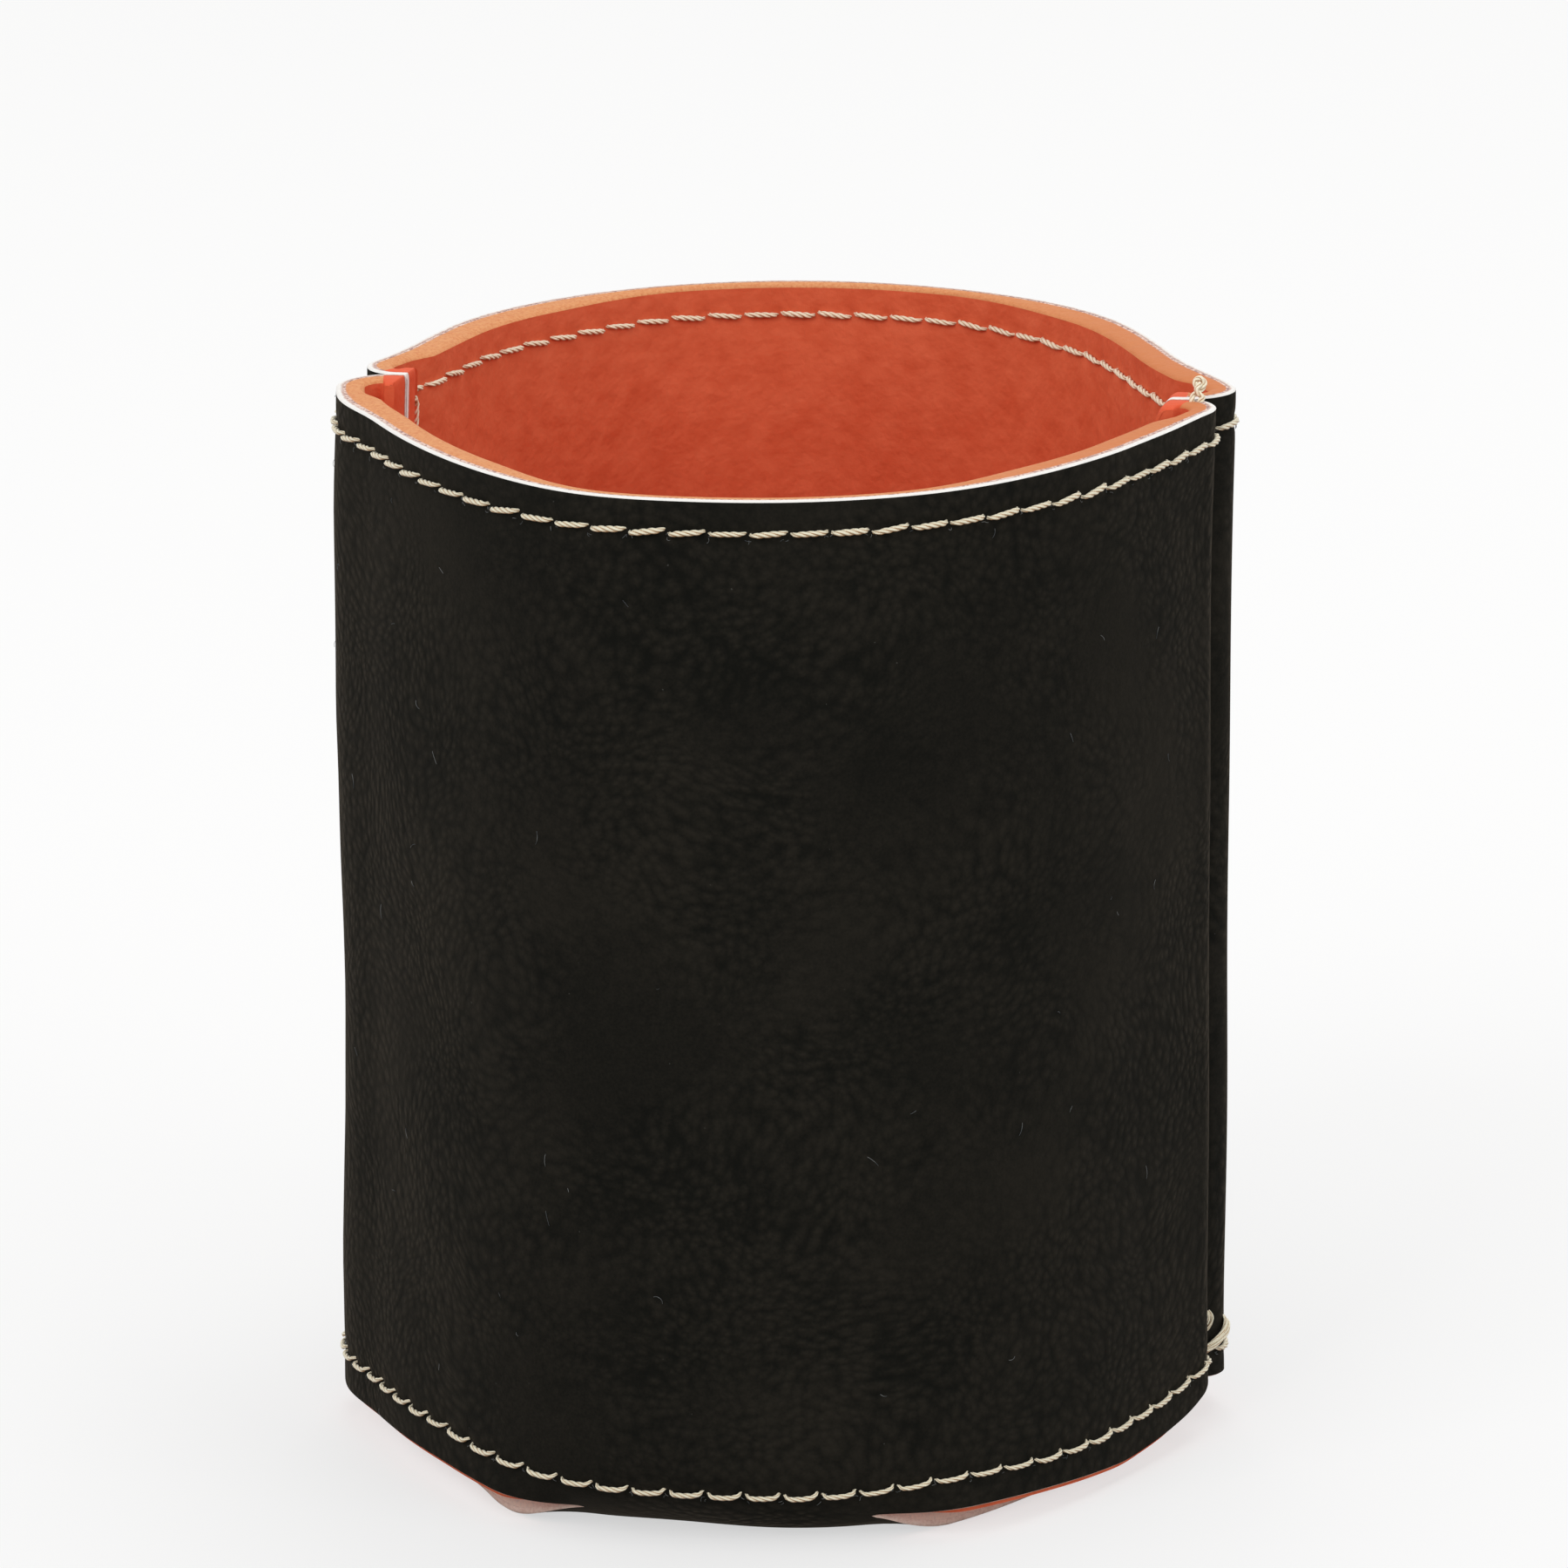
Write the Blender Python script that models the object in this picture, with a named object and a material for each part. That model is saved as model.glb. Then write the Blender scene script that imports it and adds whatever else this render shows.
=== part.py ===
"""Beverage holder sewn from one folded blank of black leatherette with a bonded foam lining.

The blank is a front panel, a round bottom and a back panel in one piece. The bottom hangs on a narrow
fold at the front and one at the back. The panels' side edges turn inwards and are sewn to each other.
Units are metres. +Z is up, the front panel faces -Y, and the origin is the middle of the base.
"""

import math

import bmesh
import bpy

# Overall form
HEIGHT = 0.0953
WIDTH = 0.0786
DEPTH = 0.0856
PANEL_BOW = math.radians(70)

# Laminate
COVER_THICKNESS = 0.0008
LINING_THICKNESS = 0.0023
LAYER_GAP = 0.0003

# Side seams
CREASE_RADIUS = 0.0004
SEAM_GAP = 0.0003
SEAM_TURN_IN = 0.0025

# Bottom and its folds
FOLD_INNER_RADIUS = 0.0046
FOLD_WIDTH = 0.0260
WALL_EDGE_RISE = 0.0025
BOTTOM_CLEARANCE = 0.0003
BOTTOM_JOIN = 0.0030
SLIT_TAPER = 0.0040
FOLD_RELAX = 0.0100

# Stitching
THREAD_DIAMETER = 0.0007
THREAD_CLEARANCE = 0.0003
STITCH_PITCH = 0.0035
STITCH_HOLE_LENGTH = 0.0005
HOLE_THREAD_SHARE = 0.5
ROW_INSET = 0.0029
ROW_END_TURN = math.radians(35)
INNER_ROW_END = 0.0030
SEAM_ROW_START = 0.0060

# Mesh fineness
FOLD_SEGMENTS = 4
SLIT_SEGMENTS = 4
BOW_SEGMENTS = 6
CORNER_SEGMENTS = 8
SIDE_SEGMENTS = 4
EDGE_ROWS = 4
TINY = 1e-7

# Values that follow from the sizes above
LAMINATE = COVER_THICKNESS + LAYER_GAP + LINING_THICKNESS
CORNER_RADIUS = CREASE_RADIUS + LAMINATE
FOLD_RADIUS = FOLD_INNER_RADIUS + LAMINATE
CORNER_X = WIDTH / 2 - CORNER_RADIUS
CORNER_Y = -(SEAM_GAP / 2 + CORNER_RADIUS)


def bow_radius():
    """Radius of the panel's bow, so that it meets the seam corner on a straight tangent."""
    sine, cosine = math.sin(PANEL_BOW), math.cos(PANEL_BOW)
    reach = sine * CORNER_X - cosine * CORNER_Y + CORNER_RADIUS - cosine * DEPTH / 2
    return reach / (1 - cosine)


BOW_RADIUS = bow_radius()
BOW_Y = BOW_RADIUS - DEPTH / 2
BOW_LENGTH = BOW_RADIUS * PANEL_BOW
CORNER_TURN = math.pi - PANEL_BOW
CORNER_LENGTH = CORNER_RADIUS * CORNER_TURN
FLARE_LENGTH = math.hypot(
    CORNER_X + (CORNER_RADIUS - BOW_RADIUS) * math.sin(PANEL_BOW),
    CORNER_Y - BOW_Y - (CORNER_RADIUS - BOW_RADIUS) * math.cos(PANEL_BOW),
)
WALL_LENGTH = BOW_LENGTH + FLARE_LENGTH
HALF_LENGTH = WALL_LENGTH + CORNER_LENGTH + SEAM_TURN_IN

FLAT_RADIUS = BOW_RADIUS - FOLD_RADIUS
RIM_RADIUS = BOW_RADIUS - LAMINATE - BOTTOM_CLEARANCE
BOTTOM_HALF_WIDTH = min(RIM_RADIUS, CORNER_X - SEAM_TURN_IN - BOTTOM_CLEARANCE)
WALL_DROP = FOLD_RADIUS - WALL_EDGE_RISE
FOLD_LENGTH = FOLD_RADIUS * math.pi / 2
FOLD_HALF_ANGLE = FOLD_WIDTH / 2 / BOW_RADIUS
SIDE_TURN = math.acos(max(0.0, BOW_Y + BOTTOM_JOIN) / FLAT_RADIUS)

COVER_COLOR = (0.016, 0.014, 0.012, 1.0)
LINING_COLOR = (0.68, 0.19, 0.08, 1.0)
THREAD_COLOR = (0.78, 0.60, 0.36, 1.0)


def clear_scene():
    """Removes every object from the scene."""
    for item in list(bpy.data.objects):
        bpy.data.objects.remove(item, do_unlink=True)


def smooth_step(value):
    """Eases a share from 0 to 1."""
    share = min(1.0, max(0.0, value))
    return share * share * (3 - 2 * share)


def plan_point(along):
    """Point and outward direction of the front panel's outer face from above."""
    side = math.copysign(1.0, along)
    run = abs(along)
    if run <= BOW_LENGTH:
        turn = run / BOW_RADIUS
        radius, centre_x, centre_y, slide = BOW_RADIUS, 0.0, BOW_Y, 0.0
    elif run <= WALL_LENGTH:
        turn = PANEL_BOW
        radius, centre_x, centre_y, slide = BOW_RADIUS, 0.0, BOW_Y, run - BOW_LENGTH
    else:
        arc = min(run - WALL_LENGTH, CORNER_LENGTH)
        turn = PANEL_BOW + arc / CORNER_RADIUS
        slide = run - WALL_LENGTH - arc
        radius, centre_x, centre_y = CORNER_RADIUS, CORNER_X, CORNER_Y
    normal = (math.sin(turn), -math.cos(turn))
    x = centre_x + radius * normal[0] - slide * normal[1]
    y = centre_y + radius * normal[1] + slide * normal[0]
    return side * x, y, side * normal[0], normal[1]


def curl_at(along):
    """How strongly the sheet still bends into the fold: 1 on the fold, 0 well away from it."""
    away = abs(along) - FOLD_WIDTH / 2
    return 1 - smooth_step(away / FOLD_RELAX)


def arc_run(length, curl):
    """Straight and sideways travel of a strip of that length that bends with the curl."""
    if curl < TINY:
        return length, 0.0, 0.0
    radius = FOLD_RADIUS / curl
    angle = length / radius
    return radius * math.sin(angle), radius * (1 - math.cos(angle)), angle


def wall_point(along, down, depth):
    """Point of the front panel, a distance below the level where its fold begins."""
    x, y, normal_x, normal_y = plan_point(along)
    straight, inward, angle = arc_run(max(down, 0.0), curl_at(along))
    straight += min(down, 0.0)
    inward += depth * math.cos(angle)
    z = FOLD_RADIUS - straight + depth * math.sin(angle)
    return x - normal_x * inward, y - normal_y * inward, z


def bottom_point(turn, out, depth):
    """Point of the bottom, out from the flat ring on a line that is turned from -Y."""
    straight, up, angle = arc_run(out, curl_at(turn * BOW_RADIUS))
    radius = FLAT_RADIUS + straight - depth * math.sin(angle)
    return radius * math.sin(turn), BOW_Y - radius * math.cos(turn), up + depth * math.cos(angle)


def rim_reach(turn):
    """Length of the bottom from its flat ring to its cut edge."""
    side_limit = BOTTOM_HALF_WIDTH / max(abs(math.sin(turn)), TINY)
    flat_reach = min(RIM_RADIUS, side_limit) - FLAT_RADIUS
    away = (abs(turn) - FOLD_HALF_ANGLE) * BOW_RADIUS / SLIT_TAPER
    taper = math.sin(math.pi / 2 * min(1.0, max(0.0, away)))
    tip_reach = FOLD_LENGTH - WALL_DROP
    return tip_reach + (flat_reach - tip_reach) * taper


def spread(start, end, count):
    """Evenly spaced values after start, up to end."""
    return [start + (end - start) * i / count for i in range(1, count + 1)]


def half_columns():
    """Distances from the panel's middle to its turned-in edge, with one at the end of the fold."""
    fold_end = FOLD_WIDTH / 2
    taper_end = fold_end + SLIT_TAPER
    relax_end = fold_end + FOLD_RELAX
    columns = spread(0.0, fold_end, FOLD_SEGMENTS)
    columns += spread(fold_end, taper_end, SLIT_SEGMENTS)
    columns += spread(taper_end, relax_end, SLIT_SEGMENTS)
    columns += spread(relax_end, BOW_LENGTH, BOW_SEGMENTS)
    columns += spread(BOW_LENGTH, WALL_LENGTH, 1)
    columns += spread(WALL_LENGTH, WALL_LENGTH + CORNER_LENGTH, CORNER_SEGMENTS)
    columns += spread(WALL_LENGTH + CORNER_LENGTH, HALF_LENGTH, 1)
    return columns


def mirrored(values):
    """The values on both sides of a zero."""
    return [-v for v in reversed(values)] + [0.0] + list(values)


def add_panel(mesh, depth, half_turn):
    """Adds one panel and its half of the bottom's border. Returns the border's lines of vertices."""

    def vertex(point):
        x, y, z = point
        return mesh.verts.new((-x, -y, z) if half_turn else (x, y, z))

    columns = mirrored(half_columns())
    drops = [FOLD_RADIUS - HEIGHT, 0.0] + spread(0.0, WALL_DROP, EDGE_ROWS)
    wall = {s: [vertex(wall_point(s, drop, depth)) for drop in drops] for s in columns}
    add_faces(mesh, [wall[s] for s in columns])

    side_turns = spread(PANEL_BOW, SIDE_TURN, SIDE_SEGMENTS)
    stations = [(-turn, None) for turn in reversed(side_turns)]
    stations += [(s / BOW_RADIUS, wall[s][-1]) for s in columns if abs(s) <= BOW_LENGTH + TINY]
    stations += [(turn, None) for turn in side_turns]
    border = []
    for turn, wall_edge in stations:
        reach = rim_reach(turn)
        on_fold = wall_edge and abs(turn) <= FOLD_HALF_ANGLE + TINY
        cut_edge = wall_edge if on_fold else vertex(bottom_point(turn, reach, depth))
        outs = [reach * (1 - i / EDGE_ROWS) for i in range(1, EDGE_ROWS + 1)]
        border.append([cut_edge] + [vertex(bottom_point(turn, out, depth)) for out in outs])
    add_faces(mesh, border)
    return border


def add_faces(mesh, lines):
    """Adds the faces between lines of vertices that lie side by side."""
    for left, right in zip(lines, lines[1:]):
        for j in range(len(left) - 1):
            mesh.faces.new((left[j], left[j + 1], right[j + 1], right[j]))


def add_sheet(mesh, depth):
    """Adds the whole blank, folded, as one surface at a depth under the outer face."""
    front = add_panel(mesh, depth, half_turn=False)
    back = add_panel(mesh, depth, half_turn=True)
    add_faces(mesh, [front[-1], back[0]])
    add_faces(mesh, [back[-1], front[0]])
    mesh.faces.new([line[-1] for line in front + back])
    bmesh.ops.recalc_face_normals(mesh, faces=mesh.faces)


def plain_material(name, color, roughness):
    """A Principled material of one colour."""
    material = bpy.data.materials.new(name)
    material.use_nodes = True
    shader = material.node_tree.nodes["Principled BSDF"]
    shader.inputs["Base Color"].default_value = color
    shader.inputs["Roughness"].default_value = roughness
    shader.inputs["Metallic"].default_value = 0.0
    return material


def link(name, data, material):
    """Puts the data into the scene as a named object with its own material."""
    item = bpy.data.objects.new(name, data)
    data.materials.append(material)
    bpy.context.scene.collection.objects.link(item)
    return item


def make_layer(name, depth, thickness, material):
    """One layer of the folded blank: the sheet at its outer depth, thickened inwards."""
    mesh = bmesh.new()
    add_sheet(mesh, depth)
    data = bpy.data.meshes.new(name)
    mesh.to_mesh(data)
    mesh.free()
    layer = link(name, data, material)
    thicken = layer.modifiers.new("thickness", "SOLIDIFY")
    thicken.thickness = thickness
    thicken.offset = -1.0
    thicken.use_even_offset = True
    data.shade_smooth()
    data.set_sharp_from_angle(angle=math.radians(35))
    return layer


def make_thread(name, points, sides_level, material):
    """A sewing thread through (point, share of full thickness) pairs, with closed ends."""
    curve = bpy.data.curves.new(name, "CURVE")
    curve.dimensions = "3D"
    curve.bevel_depth = THREAD_DIAMETER / 2
    curve.bevel_resolution = sides_level
    curve.use_fill_caps = True
    spline = curve.splines.new("POLY")
    spline.points.add(len(points) - 1)
    for target, (point, share) in zip(spline.points, points):
        target.co = (*point, 1.0)
        target.radius = share
    return link(name, curve, material)


def stitch_marks(start, end):
    """Stations along a row of stitches, each with its share of the thread's full thickness."""
    count = max(1, round((end - start) / STITCH_PITCH))
    pitch = (end - start) / count
    marks = [(start, HOLE_THREAD_SHARE)]
    for i in range(count):
        begin = start + pitch * i
        marks.append((begin + STITCH_HOLE_LENGTH, 1.0))
        marks.append((begin + pitch - STITCH_HOLE_LENGTH, 1.0))
        marks.append((begin + pitch, HOLE_THREAD_SHARE))
    return marks


def lift(share):
    """Height of the thread's middle over the face it lies on, where it has that share of thickness."""
    return THREAD_CLEARANCE + share * THREAD_DIAMETER / 2


def row_points(down, inside, back):
    """Points of one panel's row of stitches, on the outer face or on the lining."""
    if inside:
        end = WALL_LENGTH - INNER_ROW_END
    else:
        end = WALL_LENGTH + CORNER_RADIUS * (math.pi / 2 - PANEL_BOW + ROW_END_TURN)
    points = []
    for along, share in stitch_marks(-end, end):
        depth = LAMINATE + lift(share) if inside else -lift(share)
        x, y, z = wall_point(along, down, depth)
        points.append(((-x, -y, z) if back else (x, y, z), share))
    return points


def seam_points(side):
    """Points of a side seam's thread: up one turned-in edge, over the top and down the other."""
    x = side * (CORNER_X - SEAM_TURN_IN / 2)
    face_y = SEAM_GAP / 2 + LAMINATE
    top = HEIGHT + lift(1.0)
    rise = stitch_marks(SEAM_ROW_START, HEIGHT - ROW_INSET)
    points = [((x, -face_y - lift(share), z), share) for z, share in rise[:-1]]
    turn_y = face_y + lift(1.0)
    points += [((x, y, top), 1.0) for y in (-turn_y, turn_y)]
    points += [((x, face_y + lift(share), z), share) for z, share in reversed(rise[:-1])]
    return points


def main():
    """Builds the two layers and every thread."""
    clear_scene()
    cover = plain_material("black_leatherette", COVER_COLOR, 0.85)
    foam = plain_material("orange_foam", LINING_COLOR, 0.8)
    thread = plain_material("cream_thread", THREAD_COLOR, 0.6)
    make_layer("leatherette_cover", 0.0, COVER_THICKNESS, cover)
    make_layer("foam_lining", COVER_THICKNESS + LAYER_GAP, LINING_THICKNESS, foam)
    top_row = FOLD_RADIUS - HEIGHT + ROW_INSET
    bottom_row = WALL_DROP - ROW_INSET
    for panel, back in (("front", False), ("back", True)):
        for place, down in (("top", top_row), ("bottom", bottom_row)):
            make_thread(f"{panel}_{place}_needle_thread", row_points(down, False, back), 1, thread)
            make_thread(f"{panel}_{place}_bobbin_thread", row_points(down, True, back), 0, thread)
    make_thread("left_seam_thread", seam_points(-1), 0, thread)
    make_thread("right_seam_thread", seam_points(1), 0, thread)


main()
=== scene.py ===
"""Looks of the leatherette beverage holder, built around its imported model.

One die-cut blank of black leatherette with a bonded foam lining is folded into a front panel, a round
bottom and a back panel, and sewn up at both sides. Units are metres, +Z is up, the front faces -Y.
"""

import logging
import math
from collections.abc import Callable
from dataclasses import dataclass, field
from enum import Enum

import bpy
import numpy as np
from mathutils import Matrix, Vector


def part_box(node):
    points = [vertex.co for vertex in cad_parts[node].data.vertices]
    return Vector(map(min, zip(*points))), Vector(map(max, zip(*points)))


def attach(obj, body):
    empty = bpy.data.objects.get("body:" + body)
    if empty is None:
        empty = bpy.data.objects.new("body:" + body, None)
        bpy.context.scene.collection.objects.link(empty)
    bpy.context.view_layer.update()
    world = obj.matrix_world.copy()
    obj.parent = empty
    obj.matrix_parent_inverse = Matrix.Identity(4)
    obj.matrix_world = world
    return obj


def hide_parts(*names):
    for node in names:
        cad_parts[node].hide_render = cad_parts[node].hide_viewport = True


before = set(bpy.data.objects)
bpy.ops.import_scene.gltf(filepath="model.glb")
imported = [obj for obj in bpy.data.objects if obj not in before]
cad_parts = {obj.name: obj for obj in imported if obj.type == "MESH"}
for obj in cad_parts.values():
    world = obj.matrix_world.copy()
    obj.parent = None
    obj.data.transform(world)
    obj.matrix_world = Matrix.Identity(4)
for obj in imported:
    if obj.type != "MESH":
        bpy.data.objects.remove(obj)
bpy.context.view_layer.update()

LOG = logging.getLogger("beverage_holder")
MM = 0.001
BODY = "root"
Array = np.ndarray
Colour = tuple[float, float, float]
Point = tuple[float, float, float]
Draw = Callable[[Array, Array], Array]
Stations = tuple[tuple[float, float], ...]
Chance = np.random.Generator
Socket = bpy.types.NodeSocket
Inputs = dict[str | int, Socket | float | tuple]
Piece = bpy.types.Object
Finish = bpy.types.Material


class Panel(Enum):
    """The two panels of the sleeve; the value turns a front panel's point into this panel's."""

    FRONT = 1.0
    BACK = -1.0


class Place(Enum):
    """The two decorative rows of a panel."""

    TOP = "top"
    BOTTOM = "bottom"


class Face(Enum):
    """The face of the laminate that a thread lies on."""

    OUTSIDE = "needle"
    INSIDE = "bobbin"


class Slot(Enum):
    """Names of the material slots."""

    LEATHERETTE = "leatherette"
    LINING = "lining"
    THREAD = "thread"


def smooth_step(value: Array) -> Array:
    """Eases a value into a share from 0 to 1."""
    share = np.clip(value, 0.0, 1.0)
    return share * share * (3.0 - 2.0 * share)


def along_stations(along: Array, stations: Stations) -> Array:
    """A value given at a few places along the sheet, in millimetres, with its corners rounded off.

    Args:
        along: Distances from the panel's middle in metres.
        stations: Pairs of a distance and the value there, both in millimetres.

    Returns:
        The value at each place in metres.
    """
    places = [place * MM for place, _ in stations]
    values = [value * MM for _, value in stations]
    spread = np.linspace(-1.5, 1.5, 5) * MM
    return np.mean([np.interp(along + shift, places, values) for shift in spread], axis=0)


def unit(vectors: Array) -> Array:
    """Vectors in rows, brought to length 1."""
    return vectors / np.maximum(np.linalg.norm(vectors, axis=-1, keepdims=True), 1e-12)


def smooth_path(points: Array, steps: int) -> Array:
    """A Catmull-Rom curve through a few points.

    Args:
        points: The points that the curve passes, in rows.
        steps: Curve points for each stretch between two of them.

    Returns:
        The curve's points.
    """
    ends = np.vstack([2 * points[0] - points[1], points, 2 * points[-1] - points[-2]])
    share = (np.arange(steps) / steps)[:, None]
    curve = []
    for a, b, c, d in zip(ends, ends[1:], ends[2:], ends[3:]):
        line = 2 * b + (c - a) * share + (2 * a - 5 * b + 4 * c - d) * share**2
        curve.append((line + (3 * b - a - 3 * c + d) * share**3) / 2)
    return np.vstack([*curve, points[-1:]])


def add_object(name: str, data: bpy.types.ID) -> Piece:
    """Adds an object to the scene."""
    piece = bpy.data.objects.new(name, data)
    bpy.context.scene.collection.objects.link(piece)
    return piece


def add_mark(mesh: bpy.types.Mesh, name: str, domain: str, values: Array) -> None:
    """Stores a value on each point or face of a mesh."""
    mark = mesh.attributes.new(name, "FLOAT", domain)
    mark.data.foreach_set("value", values.astype(np.float32))


@dataclass(frozen=True)
class SoftSpot:
    """A place where the soft sleeve has settled away from its true plan."""

    centre: tuple[float, float]
    reach: float
    shift: tuple[float, float]
    top_share: float = 1.0
    fade: float = 45.0

    def push(self, points: Array) -> Array:
        """Sideways shift of points near the spot. The spot's sizes are in millimetres.

        Args:
            points: Points in rows.

        Returns:
            The shift of each point in X and Y.
        """
        away = points[..., :2] / MM - np.array(self.centre)
        weight = np.exp(-(away**2).sum(-1) / self.reach**2)
        low = np.exp(-((points[..., 2] / MM / self.fade) ** 2))
        weight = weight * (self.top_share + (1.0 - self.top_share) * low)
        return weight[..., None] * np.array(self.shift) * MM


@dataclass(frozen=True)
class SideLean:
    """How far one side of the soft wall stands out at each height, in millimetres."""

    side: float
    profile: Stations
    start: float = 26.0
    ramp: float = 10.0

    def push(self, points: Array) -> Array:
        """Shift of points in X."""
        weight = smooth_step((self.side * points[..., 0] / MM - self.start) / self.ramp)
        return weight * self.side * along_stations(points[..., 2], self.profile)


# Read from the photograph, in millimetres: where the soft wall has settled, then along the sheet the
# height of the wall's lower edge, the lift of the bottom row of stitches and the growth of the bottom's
# rim, and at last how far each side leans out at each height.
SOFT_SPOTS = (
    SoftSpot((-29, -27), 13, (0.47, 1.50)),
    SoftSpot((-38.5, -10.5), 7, (-1.33, -0.68)),
    SoftSpot((29, -25), 16, (-0.7, 1.55)),
    SoftSpot((39.5, 5.5), 7, (0.92, 0.81)),
    SoftSpot((33, 22), 12, (-1.07, -1.1)),
    SoftSpot((-38, 7), 9, (1.2, -0.26)),
    SoftSpot((38.5, -5), 6, (-0.05, 0.06), 7.0),
    SoftSpot((-12, -40.5), 9, (0.0, -1.10)),
    SoftSpot((-20, -38.5), 9, (0.0, -1.00), 0.0),
    SoftSpot((13, -41), 8, (0.0, 0.20)),
    SoftSpot((23, -37.5), 13, (0.0, -1.10), 0.15),
    SoftSpot((-6, -41.5), 9, (0.0, 2.20), 0.0, 3.5),
)
FRONT_EDGE = (
    (-68, 4.4), (-62, 3.5), (-56, 2.75), (-47, 2.7), (-37, 2.8), (-30, 2.85), (-24, 2.75), (-19, 2.4),
    (-13.6, 1.4), (15, 1.4), (18, 2.2), (22, 2.7), (27, 2.6), (32, 2.35), (38, 1.95), (45, 1.6), (51, 2.1),
    (56, 2.8), (58, 3.3), (60, 4.1), (62, 5.0), (68, 6.0),
)
BACK_EDGE = (
    (-68, 4.0), (-62, 3.3), (-56, 3.2), (-46, 2.9), (-37, 2.7), (-24, 2.5), (-19, 2.2), (-13.6, 1.4),
    (15, 1.4), (19, 2.1), (37, 2.5), (56, 3.1), (68, 4.0),
)
FRONT_ROW_LIFT = (
    (-47, 0.75), (-40, 0.80), (-34, 0.80), (-29, 0.95), (-25, 0.62), (-20, 0.62), (-15, 0.15),
    (-8, -0.18), (0, -0.35), (7, -0.5), (14, -0.22), (20, 0.4), (25, 0.4), (32, -0.1), (39, -0.35),
    (45, -0.1), (51, 0.1), (56, 0.75), (60, 1.15),
)
BACK_ROW_LIFT = ((-56, 0.6), (-46, 0.2), (-37, 0), (45, 0), (56, 0.6))
RIM_GAIN = (
    (-32, 0), (-29, 0.2), (-24, 1.3), (-18, 1.4), (-13.6, 1.0), (15, 1.0), (18, 0.6), (22, 0.3),
    (27, -0.1), (33, -0.4), (40, -0.6), (60, -0.6),
)
LEFT_LEAN = (
    (0, 0.23), (15, 0.23), (21, 0.0), (28, -0.22), (40, -0.22), (47, -0.08), (53, 0.08), (60, 0.18),
    (66, 0.38), (85, 0.36), (92, 0.10), (96, 0.0),
)
RIGHT_LEAN = ((0, 0.0), (10, -0.15), (50, -0.18), (85, -0.10), (93, 0.0))
SIDE_LEANS = (SideLean(-1.0, LEFT_LEAN), SideLean(1.0, RIGHT_LEAN))


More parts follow.
